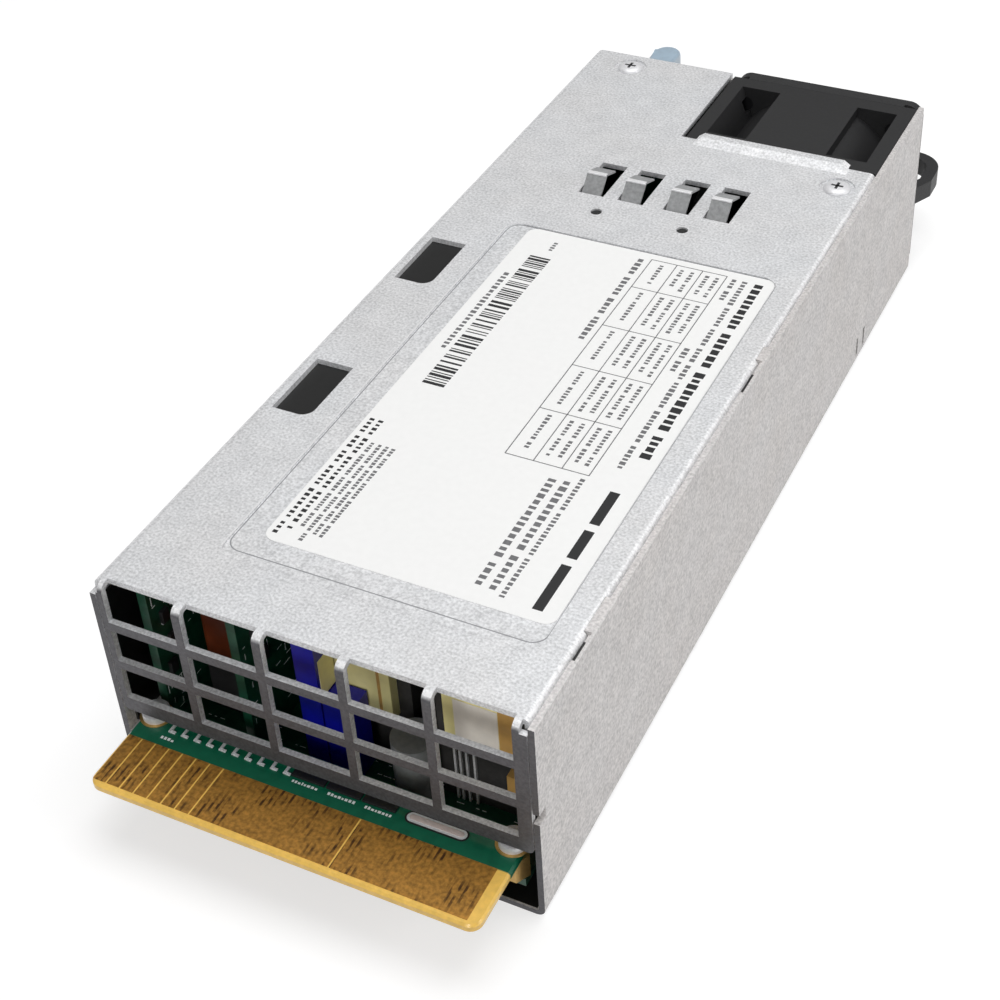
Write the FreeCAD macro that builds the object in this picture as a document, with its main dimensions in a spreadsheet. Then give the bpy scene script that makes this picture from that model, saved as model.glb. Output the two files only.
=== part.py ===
"""Hot swap server power supply: folded steel case, card-edge output, 40 mm fan, inlet, latch and handle.

Frame: origin at the centre of the case's bottom face, +X to the right seen from the card edge,
+Y towards the fan and inlet end, +Z up.  All sizes are in millimetres.
"""
import FreeCAD
import Part
import math
import os

import Sketcher
from FreeCAD import Placement, Rotation, Vector

# --------------------------------------------------------------------------------------
# Driving dimensions: alias, value, meaning
# --------------------------------------------------------------------------------------
SIZES = [
    ("case_width", 73.5, "outer width of the case"),
    ("case_length", 185.0, "grille face to rear panel face"),
    ("case_height", 40.0, "outer height of the case"),
    ("gauge", 1.0, "steel sheet thickness"),
    ("bend_radius", 1.5, "outside radius of a sheet bend"),
    ("seam_gap", 0.2, "gap between two sheets side by side"),
    ("lap_gap", 0.1, "gap between two sheets face to face"),
    ("cover_flange", 16.0, "depth of the cover's flange inside the right wall"),
    ("base_flange", 8.5, "height of the base's flange inside the left wall"),
    ("grille_bottom", 13.7, "height of the grille's lower edge"),
    ("grille_side", 2.3, "outer face of the case to the first grille window"),
    ("grille_columns", 5, "windows in a grille row"),
    ("grille_bar", 1.5, "width of an upright grille bar"),
    ("grille_rail", 1.7, "height of a level grille bar"),
    ("grille_sill", 2.8, "height of the grille's bottom border"),
    ("grille_wrap", 0.5, "how far the top windows cut past the bend"),
    ("recess_depth", 0.3, "depth of the label recess"),
    ("recess_left", 14.0, "left face of the case to the recess"),
    ("recess_right", 5.9, "recess to the right face of the case"),
    ("recess_front", 12.8, "grille face to the recess"),
    ("recess_rear", 71.1, "recess to the rear face"),
    ("recess_round", 3.0, "corner radius of the recess"),
    ("label_margin", 0.3, "label to the recess's right and rear edges"),
    ("label_left", 4.3, "label to the recess's left edge"),
    ("label_front", 6.2, "label to the recess's front edge"),
    ("label_round", 2.0, "corner radius of the label"),
    ("label_thickness", 0.12, "thickness of the label"),
    ("vent_left", 2.6, "left face of the case to the insulated windows"),
    ("vent_width", 7.1, "width of an insulated window"),
    ("vent_length", 14.6, "length of an insulated window"),
    ("vent_round", 2.2, "radius of the window's one round corner"),
    ("vent_first", 47.0, "grille face to the first insulated window"),
    ("vent_second", 96.3, "second insulated window to the rear face"),
    ("film_thickness", 0.4, "thickness of the insulating film"),
    ("film_margin", 2.0, "film beyond the window on each side"),
    ("film_reach", 40.0, "length of the film on the left wall"),
    ("finger_front", 56.6, "front of the grounding finger slots to the rear face"),
    ("finger_slot_width", 5.3, "width of a grounding finger slot"),
    ("finger_slot_length", 12.0, "length of a grounding finger slot"),
    ("finger_pitch", 8.2, "spacing of the two fingers of a spring"),
    ("spring_offset", 8.8, "case centre to the middle of a spring, to the right"),
    ("spring_shift", 17.6, "spacing of the two grounding springs"),
    ("finger_width", 4.0, "width of a grounding finger"),
    ("finger_rise", 2.6, "height of the finger's crest over the cover"),
    ("finger_run", 3.7, "length of the finger's ramp"),
    ("finger_tail", 4.0, "length of the finger behind its crest"),
    ("finger_fall", 1.4, "drop of the finger behind its crest"),
    ("finger_thickness", 0.4, "thickness of the grounding spring"),
    ("pilot_radius", 1.1, "radius of the round holes in front of the springs"),
    ("pilot_front", 5.4, "those holes to the front of the slots"),
    ("screw_rear_left_x", 10.1, "left face of the case to the rear left cover screw"),
    ("screw_rear_left_y", 5.2, "rear left cover screw to the rear face"),
    ("screw_right_x", 6.6, "right cover screw to the right face of the case"),
    ("screw_right_y", 36.6, "right cover screw to the rear face"),
    ("cover_screw_radius", 1.5, "thread radius of the cover screws"),
    ("cover_head_radius", 2.7, "head radius of the cover screws"),
    ("cover_head_height", 0.8, "head height of the cover screws above the dimple"),
    ("dimple_depth", 0.4, "depth of the dimple round a cover screw"),
    ("dimple_radius", 3.5, "radius of the dimple round a cover screw"),
    ("fan_headroom", 0.2, "case height less the side of the square fan"),
    ("fan_depth", 28.0, "depth of the fan"),
    ("fan_gap", 0.15, "fan to the right wall"),
    ("fan_flange", 3.6, "thickness of the fan's end flanges"),
    ("fan_wall", 2.8, "thickness of the fan's side walls"),
    ("fan_barrel_inset", 0.3, "side of the fan to its barrel"),
    ("fan_barrel_wall", 0.9, "wall of the fan's barrel"),
    ("fan_void", 8.4, "fan's middle plane to the open corners of its frame"),
    ("fan_void_depth", 9.0, "depth of those open corners"),
    ("fan_window_gap", 0.9, "left side of the fan to its window"),
    ("fan_hub", 9.6, "radius of the rotor's hub"),
    ("fan_tip_gap", 0.5, "blade tip to barrel"),
    ("fan_blades", 7, "number of blades"),
    ("blade_chord", 8.4, "span of a blade round the axis"),
    ("blade_sweep", 2.2, "shift of a blade's tip round the axis"),
    ("blade_margin", 1.4, "blade to the ends of the rotor's hub"),
    ("rotor_length", 17.0, "length of the rotor's hub"),
    ("rotor_wall", 1.2, "wall of the rotor's hub"),
    ("rotor_inset", 4.0, "fan's front to the rotor"),
    ("fan_hole_inset", 3.9, "fan's screw holes to its sides"),
    ("fan_screw_radius", 1.6, "thread radius of the fan screws"),
    ("fan_shaft_radius", 1.0, "radius of the fan's shaft"),
    ("bearing_gap", 0.04, "running gap between shaft and bearings"),
    ("shaft_clear", 0.2, "end of the shaft to the motor mount"),
    ("mount_inset", 0.4, "motor mount inside the rear face of the fan"),
    ("mount_thickness", 2.4, "thickness of the motor mount and its struts"),
    ("strut_half", 0.9, "half width of a strut of the motor mount"),
    ("tube_length", 15.0, "length of the bearing tube"),
    ("magnet_length", 12.0, "length of the rotor's magnet ring"),
    ("stator_front", 12.5, "front face of the stator to the motor mount"),
    ("stator_length", 9.5, "length of the stator"),
    ("wall_slope", 3.4, "lean of the fan frame's side walls"),
    ("lip_left", 2.25, "left side of the fan to the retaining lip"),
    ("lip_right", 6.5, "lip to the right face of the case"),
    ("lip_slope", 1.8, "run of the lip's slanted ends"),
    ("lip_run", 2.4, "length of the lip's ramp"),
    ("lip_rise", 1.0, "height of the lip over the cover"),
    ("lip_reach", 1.3, "how far the lip reaches over the fan"),
    ("inlet_side_gap", 0.9, "inlet body to the fan"),
    ("inlet_head", 12.0, "inlet body to the case's top"),
    ("inlet_left", 1.45, "left face of the case to the inlet body"),
    ("inlet_bottom", 3.6, "case bottom to the inlet body"),
    ("inlet_wall", 1.3, "wall of the inlet body"),
    ("inlet_round", 3.0, "corner radius of the inlet body"),
    ("inlet_depth", 19.0, "depth of the inlet's socket"),
    ("inlet_floor", 3.0, "thickness behind the inlet's socket"),
    ("inlet_brim", 0.9, "thickness of the inlet's brim outside the panel"),
    ("inlet_brim_width", 0.35, "how far the brim stands out round the body"),
    ("blade_height", 4.0, "height of an inlet blade"),
    ("blade_thickness", 2.0, "thickness of an inlet blade"),
    ("blade_length", 13.0, "length of an inlet blade in the socket"),
    ("blade_spread", 7.0, "socket centre to the line and neutral blades"),
    ("blade_drop", 2.0, "socket centre to those blades, downwards"),
    ("earth_rise", 2.0, "socket centre to the earth blade, upwards"),
    ("lever_drop", 5.4, "underside of the latch lever to the case's top"),
    ("lever_gauge", 1.2, "thickness of the latch lever"),
    ("lever_play", 0.25, "gap between the lever and its bracket"),
    ("pivot_x", 6.4, "left face of the case to the latch pivot"),
    ("pivot_y", 40.0, "latch pivot to the rear face"),
    ("pivot_radius", 1.5, "radius of the latch pivot pin"),
    ("pivot_gap", 0.06, "running gap between pin and lever"),
    ("hook_front", 20.0, "foot of the hook's ramp to the rear face"),
    ("hook_rear", 12.0, "hook's holding face to the rear face"),
    ("hook_reach", 1.8, "hook beyond the case's left face"),
    ("latch_swing", 5.5, "turn of the latch lever in degrees"),
    ("spring_length", 4.25, "length of the return spring"),
    ("spring_leaf", 1.0, "return spring's leaf, measured along its folds"),
    ("spring_depth", 2.6, "depth of the return spring's folds"),
    ("spring_height", 1.6, "height of the return spring's leaf"),
    ("grip_left", 9.9, "left face of the case to the latch grip"),
    ("grip_width", 7.2, "width of the latch grip"),
    ("grip_length", 8.6, "latch grip behind the rear panel"),
    ("grip_gap", 1.6, "rear panel to the grip at rest"),
    ("grip_height", 4.8, "height of the latch grip"),
    ("handle_plate", 2.0, "thickness of the handle's plate"),
    ("handle_corner", 3.0, "corner radius of the handle's plate"),
    ("handle_level", 13.0, "case bottom to the middle of the handle's bar"),
    ("handle_reach", 25.0, "handle behind the rear panel"),
    ("handle_neck", 2.6, "how far the loop narrows at the plate on each side"),
    ("handle_neck_run", 7.0, "length of that narrower part"),
    ("handle_bar", 2.6, "thickness of the handle's bar seen from above"),
    ("handle_tall", 4.0, "height of the handle's bar"),
    ("handle_round", 6.5, "outside radius of the handle's bends"),
    ("guard_inset", 1.5, "side of the fan to the handle plate's opening"),
    ("guard_hub", 1.5, "guard's middle disc inside the rotor's hub"),
    ("guard_ring", 1.2, "width of a guard ring"),
    ("guard_slots", 2, "ring slots of the guard"),
    ("guard_spoke", 1.8, "width of a guard spoke"),
    ("board_thickness", 1.6, "thickness of the circuit boards"),
    ("edge_margin", 3.55, "card-edge board to the side faces of the case"),
    ("edge_level", 10.4, "case bottom to the underside of the card-edge board"),
    ("edge_reach", 13.6, "card edge beyond the grille face"),
    ("edge_inside", 4.3, "card-edge board behind the grille face"),
    ("edge_round", 2.0, "corner radius of the card edge"),
    ("edge_bevel", 0.35, "bevel of the card edge"),
    ("contact_thickness", 0.08, "thickness of the contacts"),
    ("contact_start", 3.2, "grille face to the contacts"),
    ("contact_margin", 0.9, "contacts to the card's tip"),
    ("contact_gap", 0.3, "gap between contacts"),
    ("signal_count", 7, "narrow contacts on a side"),
    ("signal_pitch", 2.5, "spacing of the narrow contacts"),
    ("contact_left", 0.5, "first contact to the card's left edge"),
    ("contact_right", 2.0, "last contact to the card's right edge"),
    ("power_share", 0.515, "first power contact's share of the width of both"),
    ("edge_screw_inset", 2.0, "card-edge board's screws to its sides"),
    ("edge_screw_y", 1.9, "grille face to those screws"),
    ("small_screw_radius", 1.25, "thread radius of the board screws"),
    ("small_head_radius", 2.2, "head radius of the board screws"),
    ("small_head_height", 1.3, "head height of the board screws"),
    ("standoff_radius", 2.2, "radius of the standoffs"),
    ("main_level", 4.4, "case bottom to the underside of the main board"),
    ("main_front", 0.9, "grille face to the main board"),
    ("main_rear", 32.0, "main board to the rear face"),
    ("main_margin", 3.35, "main board to the side faces of the case"),
    ("core_leg", 2.4, "width of a wound core's outer legs"),
    ("winding_stand", 2.0, "how far a winding stands out of its core"),
    ("rectifier_front", 27.0, "front edge of the rectifier to the end of the main board"),
    ("rectifier_rear", 7.0, "rear edge of the rectifier to the end of the main board"),
    ("fuse_radius", 3.2, "radius of the line fuse"),
    ("light_beside", 6.95, "status lamp to the left side of the fan"),
    ("light_drop", 6.4, "status lamp to the case's top"),
    ("light_radius", 1.5, "radius of the status lamp's light pipe"),
    ("tube_radius", 3.0, "outer radius of the fan's bearing tube"),
    ("bearing_radius", 2.2, "outer radius of the fan's bearings"),
]

document = FreeCAD.newDocument("ServerPowerSupply")
sheet = document.addObject("Spreadsheet::Sheet", "Sizes")


class Size:
    """A length that keeps its sheet expression beside its present number."""

    def __init__(self, text, number):
        self.text = text
        self.number = number

    def __add__(self, other):
        other = as_size(other)
        return Size(f"({self.text} + {other.text})", self.number + other.number)

    def __sub__(self, other):
        other = as_size(other)
        return Size(f"({self.text} - {other.text})", self.number - other.number)

    def __mul__(self, other):
        other = as_size(other)
        return Size(f"({self.text} * {other.text})", self.number * other.number)

    def __truediv__(self, other):
        other = as_size(other)
        return Size(f"({self.text} / {other.text})", self.number / other.number)

    def __radd__(self, other):
        return as_size(other) + self

    def __rsub__(self, other):
        return as_size(other) - self

    def __rmul__(self, other):
        return as_size(other) * self

    def __neg__(self):
        return Size(f"(0 - {self.text})", -self.number)


def as_size(value):
    """Wrap a plain number, and pass a Size through."""
    if isinstance(value, Size):
        return value
    return Size(repr(float(value)), float(value))


class Sheet:
    """The driving dimensions as attributes, each one a Size."""

    def __init__(self, rows):
        for row, (alias, number, meaning) in enumerate(rows, start=1):
            sheet.set(f"A{row}", alias)
            sheet.set(f"B{row}", repr(number))
            sheet.set(f"C{row}", meaning)
            sheet.setAlias(f"B{row}", alias)
            setattr(self, alias, Size(f"Sizes.{alias}", float(number)))
        document.recompute()


s = Sheet(SIZES)


def bind(thing, prop, size):
    """Give a property its number and its expression."""
    size = as_size(size)
    thing.setExpression(prop, size.text)


# --------------------------------------------------------------------------------------
# Outlines: closed loops drawn in a sketch, each corner tied to the sheet
# --------------------------------------------------------------------------------------
ORIGIN = (-1, 1)


def pin(sketch, geometry, vertex, x, y):
    """Tie one sketch vertex to its two coordinates."""
    for kind, size in (("DistanceX", as_size(x)), ("DistanceY", as_size(y))):
        number = sketch.addConstraint(
            Sketcher.Constraint(kind, ORIGIN[0], ORIGIN[1], geometry, vertex, size.number)
        )
        sketch.setExpression(f"Constraints[{number}]", size.text)


def circle(x, y, radius):
    """A circle outline."""

    def draw(sketch):
        centre = Vector(as_size(x).number, as_size(y).number, 0)
        size = as_size(radius)
        geometry = sketch.addGeometry(Part.Circle(centre, Vector(0, 0, 1), size.number), False)
        pin(sketch, geometry, 3, x, y)
        number = sketch.addConstraint(Sketcher.Constraint("Radius", geometry, size.number))
        sketch.setExpression(f"Constraints[{number}]", size.text)

    return draw


def polygon(*corners):
    """A closed outline; a corner is (x, y) or, between two square-on sides, (x, y, radius)."""

    def draw(sketch):
        count = len(corners)
        points = [(as_size(c[0]), as_size(c[1])) for c in corners]
        radii = [as_size(c[2]) if len(c) > 2 else None for c in corners]
        leave, arrive, arcs = [], [], []
        for i, (x, y) in enumerate(points):
            if radii[i] is None:
                leave.append((x, y))
                arrive.append((x, y))
                arcs.append(None)
                continue
            back = unit(points[i], points[i - 1])
            ahead = unit(points[i], points[(i + 1) % count])
            radius = radii[i]
            arrive.append((x + radius * back[0], y + radius * back[1]))
            leave.append((x + radius * ahead[0], y + radius * ahead[1]))
            centre = (x + radius * (back[0] + ahead[0]), y + radius * (back[1] + ahead[1]))
            arcs.append((centre, radius))
        lines = []
        for i in range(count):
            start, end = leave[i], arrive[(i + 1) % count]
            lines.append(sketch.addGeometry(Part.LineSegment(spot(start), spot(end)), False))
        for i in range(count):
            after = lines[i]
            before = lines[i - 1]
            pin(sketch, after, 1, *leave[i])
            if arcs[i] is None:
                sketch.addConstraint(Sketcher.Constraint("Coincident", before, 2, after, 1))
                continue
            pin(sketch, before, 2, *arrive[i])
            add_corner(sketch, arcs[i], arrive[i], leave[i], before, after)

    return draw


def add_corner(sketch, arc, arrive, leave, before, after):
    """Join two sides of an outline with a tangent arc."""
    centre, radius = arc
    middle = spot(centre)
    first = angle_of(middle, spot(arrive))
    last = angle_of(middle, spot(leave))
    turning_left = (last - first) % (2 * math.pi) < math.pi
    start, end = (first, last) if turning_left else (last, first)
    round_part = Part.ArcOfCircle(Part.Circle(middle, Vector(0, 0, 1), radius.number), start, end)
    geometry = sketch.addGeometry(round_part, False)
    entry, leaving = (1, 2) if turning_left else (2, 1)
    sketch.addConstraint(Sketcher.Constraint("Coincident", before, 2, geometry, entry))
    sketch.addConstraint(Sketcher.Constraint("Coincident", geometry, leaving, after, 1))
    number = sketch.addConstraint(
        Sketcher.Constraint("DistanceX", ORIGIN[0], ORIGIN[1], geometry, 3, centre[0].number)
    )
    sketch.setExpression(f"Constraints[{number}]", centre[0].text)


def rectangle(x0, y0, x1, y1, radius=None):
    """A rectangle outline with optional round corners."""
    corners = [(x0, y0), (x1, y0), (x1, y1), (x0, y1)]
    if radius is not None:
        corners = [(x, y, radius) for x, y in corners]
    return polygon(*corners)


def hexagon(x, y, radius):
    """A hexagon outline whose flats are a radius away from its centre."""
    corners = []
    for i in range(6):
        angle = math.radians(60 * i)
        reach = 1 / math.cos(math.radians(30))
        corners.append((x + radius * (reach * math.cos(angle)), y + radius * (reach * math.sin(angle))))
    return polygon(*corners)


def spot(point):
    """The present place of a corner."""
    return Vector(as_size(point[0]).number, as_size(point[1]).number, 0)


def unit(start, end):
    """The axis-parallel step from one corner towards the next."""
    dx = end[0].number - start[0].number
    dy = end[1].number - start[1].number
    if abs(dx) > abs(dy):
        return (math.copysign(1, dx), 0)
    return (0, math.copysign(1, dy))


def angle_of(centre, point):
    """The bearing of a point from a centre."""
    return math.atan2(point.y - centre.y, point.x - centre.x)


# --------------------------------------------------------------------------------------
# Pieces: PartDesign bodies, and groups of primitives for fasteners
# --------------------------------------------------------------------------------------
# Sketch axes on each plane: XY holds (x, y), XZ holds (x, z) and YZ holds (y, z).
NORMAL_SIGN = {"XY": 1, "XZ": -1, "YZ": 1}
pieces = []


class Piece:
    """One sub-part as a PartDesign body."""

    def __init__(self, label):
        self.label = label
        self.body = document.addObject("PartDesign::Body", label)
        self.body.Label = label
        self.steps = 0
        pieces.append(self.body)

    def origin_feature(self, role):
        """One of the body's own origin planes or axes."""
        for feature in self.body.Origin.OriginFeatures:
            if feature.Role == role:
                return feature
        raise LookupError(role)

    def next_name(self, kind):
        """A fresh object name for a step of this piece."""
        self.steps += 1
        return f"{self.label}_{kind}_{self.steps}"

    def sketch(self, plane, level, outlines):
        """A sketch parallel to an origin plane, at a level along the plane's axis."""
        sketch = self.body.newObject("Sketcher::SketchObject", self.next_name("sketch"))
        sketch.AttachmentSupport = [(self.origin_feature(f"{plane}_Plane"), "")]
        sketch.MapMode = "FlatFace"
        bind(sketch, "AttachmentOffset.Base.z", NORMAL_SIGN[plane] * as_size(level))
        for draw in outlines:
            draw(sketch)
        return sketch

    def pad(self, plane, start, length, *outlines):
        """Add material from a level, along the plane's positive axis."""
        feature = self.body.newObject("PartDesign::Pad", self.next_name("pad"))
        feature.Profile = self.sketch(plane, start, outlines)
        feature.Reversed = plane == "XZ"
        bind(feature, "Length", length)
        return feature

    def pocket(self, plane, start, length, *outlines):
        """Remove material from a level, along the plane's positive axis."""
        feature = self.body.newObject("PartDesign::Pocket", self.next_name("pocket"))
        feature.Profile = self.sketch(plane, start, outlines)
        feature.Reversed = plane != "XZ"
        bind(feature, "Length", length)
        return feature

    def row(self, feature, axis, length, count):
        """Repeat a feature along an axis of the body."""
        pattern = self.body.newObject("PartDesign::LinearPattern", self.next_name("row"))
        pattern.Originals = [feature]
        pattern.Direction = (self.origin_feature(f"{axis}_Axis"), [""])
        bind(pattern, "Length", length)
        bind(pattern, "Occurrences", count)
        self.body.Tip = pattern
        return pattern

    def ring(self, feature, axis, count):
        """Repeat a feature round an axis of the body."""
        pattern = self.body.newObject("PartDesign::PolarPattern", self.next_name("ring"))
        pattern.Originals = [feature]
        pattern.Axis = (self.origin_feature(f"{axis}_Axis"), [""])
        pattern.Angle = 360
        bind(pattern, "Occurrences", count)
        self.body.Tip = pattern
        return pattern

    def fillet(self, radius, chooser):
        """Round the edges that the chooser picks."""
        return self.dress("PartDesign::Fillet", "Radius", radius, chooser)

    def chamfer(self, size, chooser):
        """Bevel the edges that the chooser picks."""
        return self.dress("PartDesign::Chamfer", "Size", size, chooser)

    def dress(self, kind, prop, size, chooser):
        """Dress chosen edges of the present solid."""
        document.recompute()
        base = self.body.Tip
        edges = base.Shape.Edges
        names = [f"Edge{i}" for i, edge in enumerate(edges, start=1) if chooser(edge)]
        feature = self.body.newObject(kind, self.next_name("dress"))
        feature.Base = (base, names)
        bind(feature, prop, size)
        return feature

    def place(self, x, y, z, rotation=None):
        """Set the body's placement, tied to the sheet."""
        if rotation is not None:
            self.body.Placement = Placement(Vector(0, 0, 0), rotation)
        for name, size in (("x", x), ("y", y), ("z", z)):
            bind(self.body, f"Placement.Base.{name}", size)


def edge_at(x=None, y=None, z=None, along=None, slack=0.02):
    """Choose straight edges by the middle's coordinates and the direction."""

    def choose(edge):
        box = edge.BoundBox
        if along is not None:
            spans = {"X": box.XLength, "Y": box.YLength, "Z": box.ZLength}
            if spans.pop(along) < slack or max(spans.values()) > slack:
                return False
        middle = box.Center
        for wanted, found in ((x, middle.x), (y, middle.y), (z, middle.z)):
            if wanted is not None and abs(as_size(wanted).number - found) > slack:
                return False
        return True

    return choose


def cylinder(name, x, y, z, radius, height, axis="Z"):
    """A Part cylinder that starts at a point and runs along a positive axis."""
    turn = {
        "X": Rotation(Vector(0, 1, 0), 90),
        "Y": Rotation(Vector(1, 0, 0), -90),
        "Z": Rotation(),
    }[axis]
    solid = document.addObject("Part::Cylinder", name)
    solid.Placement = Placement(Vector(0, 0, 0), turn)
    bind(solid, "Radius", radius)
    bind(solid, "Height", height)
    for letter, size in (("x", x), ("y", y), ("z", z)):
        bind(solid, f"Placement.Base.{letter}", size)
    return solid


def group(label, solids):
    """Several separate solids that share one node."""
    compound = document.addObject("Part::Compound", label)
    compound.Label = label
    compound.Links = solids
    pieces.append(compound)
    return compound


def screw(name, x, y, z, radius, length, head_radius, head_height, axis="Z"):
    """A screw whose head seats at a point, its shank running against the axis."""
    shank_y = y - length if axis == "Y" else y
    shank_z = z - length if axis == "Z" else z
    shank = cylinder(f"{name}_shank", x, shank_y, shank_z, radius, length, axis)
    head = cylinder(f"{name}_head", x, y, z, head_radius, head_height, axis)
    joined = document.addObject("Part::MultiFuse", name)
    joined.Shapes = [shank, head]
    joined.Refine = True
    return joined


# --------------------------------------------------------------------------------------
# Reference planes that several pieces share
# --------------------------------------------------------------------------------------
left = -(s.case_width / 2)
right = s.case_width / 2
front = -(s.case_length / 2)
rear = s.case_length / 2
top = s.case_height
roof = top - s.gauge
panel_front = rear - s.gauge
cover_right = right - s.gauge - s.seam_gap
edge_half = s.case_width / 2 - s.edge_margin
base_left = left + s.gauge + s.lap_gap
fan_right = right - s.gauge - s.fan_gap
fan_side = s.case_height - s.fan_headroom
fan_left = fan_right - fan_side
fan_x = fan_right - fan_side / 2
fan_z = s.case_height / 2
barrel = fan_side / 2 - s.fan_barrel_inset
bore = barrel - s.fan_barrel_wall
guard_radius = fan_side / 2 - s.guard_inset
fan_rear = panel_front
fan_front = fan_rear - s.fan_depth
fan_window_left = fan_left - s.fan_window_gap
fan_window_front = fan_front - s.seam_gap
board_top = s.main_level + s.board_thickness
edge_top = s.edge_level + s.board_thickness
card_tip = front - s.edge_reach
inlet_x0 = left + s.inlet_left
inlet_x1 = fan_left - s.inlet_side_gap
inlet_z0 = s.inlet_bottom
inlet_z1 = top - s.inlet_head
inlet_x = (inlet_x0 + inlet_x1) / 2
inlet_z = (inlet_z0 + inlet_z1) / 2
socket_floor = rear + s.inlet_brim - s.inlet_depth
inlet_back = socket_floor - s.inlet_floor
lever_level = top - s.lever_drop
lever_top = lever_level + s.lever_gauge
pivot_x = left + s.pivot_x
pivot_y = rear - s.pivot_y
hook_y0 = rear - s.hook_front
hook_y1 = rear - s.hook_rear
hook_tip = left - s.hook_reach
grip_x0 = left + s.grip_left
grip_x1 = grip_x0 + s.grip_width
tail_x0 = grip_x0 + 1.6
tail_x1 = grip_x1 - 1.6
tail_end = rear + s.grip_length - 1.6
light_x = fan_left - s.light_beside
light_z = top - s.light_drop
lever_travel = (rear - pivot_y) * math.sin(math.radians(s.latch_swing.number))
cover_screws = [
    (left + s.screw_rear_left_x, rear - s.screw_rear_left_y),
    (right - s.screw_right_x, rear - s.screw_right_y),
]
spring_middles = [-s.spring_offset, -s.spring_offset + s.spring_shift]
finger_middles = [x + side * s.finger_pitch / 2 for x in spring_middles for side in (-1, 1)]
finger_y = rear - s.finger_front
vents = [front + s.vent_first, rear - s.vent_second]
seam_tabs = [(front + 20.0, 7.5, 6.0), (front + 90.0, 4.0, 9.5)]


# The inner layout is drawn in a bay of this size and stretches with the case
BAY = (73.5, 185.0, 40.0)


def across(x):
    """A place in the bay, from its left face."""
    return left + s.case_width * (x / BAY[0])


def along(y):
    """A place in the bay, from its grille face."""
    return front + s.case_length * (y / BAY[1])


def tall(z):
    """A height in the bay."""
    return s.case_height * (z / BAY[2])


def fan_corners():
    """The four screw positions of the fan, seen along Y."""
    half = fan_side / 2 - s.fan_hole_inset
    return [(fan_x + i * half, fan_z + k * half) for i in (-1, 1) for k in (-1, 1)]


# --------------------------------------------------------------------------------------
# Case
# --------------------------------------------------------------------------------------
def base_chassis():
    """Floor, right wall, left inner flange and rear panel, folded from one sheet."""
    piece = Piece("base_chassis")
    inner = s.bend_radius - s.gauge
    piece.pad("XZ", front, s.case_length, polygon(
        (base_left, 0, s.bend_radius), (right, 0, s.bend_radius), (right, top),
        (right - s.gauge, top), (right - s.gauge, s.gauge, inner),
        (base_left + s.gauge, s.gauge, inner), (base_left + s.gauge, s.base_flange),
        (base_left, s.base_flange),
    ))
    panel_top = roof - s.lap_gap
    piece.pad("XZ", panel_front, s.gauge, polygon(
        (base_left, s.bend_radius), (right - s.gauge, s.bend_radius),
        (right - s.gauge, panel_top), (base_left, panel_top),
    ))
    # Floor opening under the fan, socket cut-out, latch slot and light hole
    piece.pocket("XY", -s.gauge, 3 * s.gauge, rectangle(
        fan_window_left, fan_window_front, right - s.gauge, panel_front))
    piece.pocket("XZ", panel_front - s.gauge, 3 * s.gauge, rectangle(
        inlet_x0, inlet_z0, inlet_x1, inlet_z1, s.inlet_round))
    piece.pocket("XZ", panel_front - s.gauge, 3 * s.gauge, rectangle(
        tail_x0 - 0.8, lever_level - 0.6, tail_x1 + lever_travel + 0.8, lever_top + 0.6))
    piece.pocket("XZ", panel_front - s.gauge, 3 * s.gauge, circle(light_x, light_z, s.light_radius))
    # The left flange is cut away beside the inlet
    piece.pocket("YZ", base_left - 0.2, s.gauge + 0.4, rectangle(
        inlet_back - 5.2, inlet_z0 - 0.15, panel_front, s.base_flange + 1))
    guard(piece)
    for x, z in fan_corners():
        piece.pocket("XZ", panel_front - s.gauge, 3 * s.gauge, circle(x, z, s.fan_screw_radius))
    # Ledges under the cover screws
    (left_x, left_y), (right_x, right_y) = cover_screws
    ledge = s.dimple_radius + 0.7
    piece.pad("XY", roof - s.lap_gap - s.gauge, s.gauge,
              rectangle(left_x - ledge, left_y - ledge, left_x + ledge, panel_front + 0.2))
    piece.pad("XY", roof - s.lap_gap - s.gauge, s.gauge,
              rectangle(right_x - ledge, right_y - ledge, right - s.gauge + 0.2, right_y + ledge))
    for x, y in cover_screws:
        piece.pocket("XY", roof - 3 * s.gauge, 3 * s.gauge, circle(x, y, s.cover_screw_radius))
    # Seam tabs that reach into the cover's notches, and the slots beside them
    for y, tab, slot in seam_tabs:
        piece.pad("XY", top - s.gauge, s.gauge, rectangle(
            cover_right - 0.5, y, right - s.gauge / 2, y + tab))
        piece.pocket("XY", top - s.gauge / 2, s.gauge, rectangle(
            right - s.gauge - 0.1, y - slot, right - s.gauge / 2, y))
    # Notch in the wall's front edge and slits of the lanced hook by the floor
    piece.pocket("YZ", right - 2 * s.gauge, 3 * s.gauge, rectangle(
        front - 1, 20.6, front + 2.0, 22.6))
    for y in (37.6, 33.4):
        piece.pocket("YZ", right - 1.5 * s.gauge, 2 * s.gauge, rectangle(
            rear - y, 2.2, rear - y + 1.0, 6.4))


def guard(piece):
    """Punched finger guard in front of the fan: ring slots bridged by four spokes."""
    hub = s.fan_hub - s.guard_hub
    pitch = (guard_radius - hub + s.guard_ring) / s.guard_slots
    for i in range(int(s.guard_slots.number)):
        inside = hub + i * pitch
        piece.pocket("XZ", panel_front - s.gauge, 3 * s.gauge,
                     circle(fan_x, fan_z, inside), circle(fan_x, fan_z, inside + pitch - s.guard_ring))
    reach = guard_radius + 0.5
    half = s.guard_spoke / 2
    piece.pad("XZ", panel_front, s.gauge, rectangle(
        fan_x - reach, fan_z - half, fan_x + reach, fan_z + half))
    piece.pad("XZ", panel_front, s.gauge, rectangle(
        fan_x - half, fan_z - reach, fan_x + half, fan_z + reach))


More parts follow.
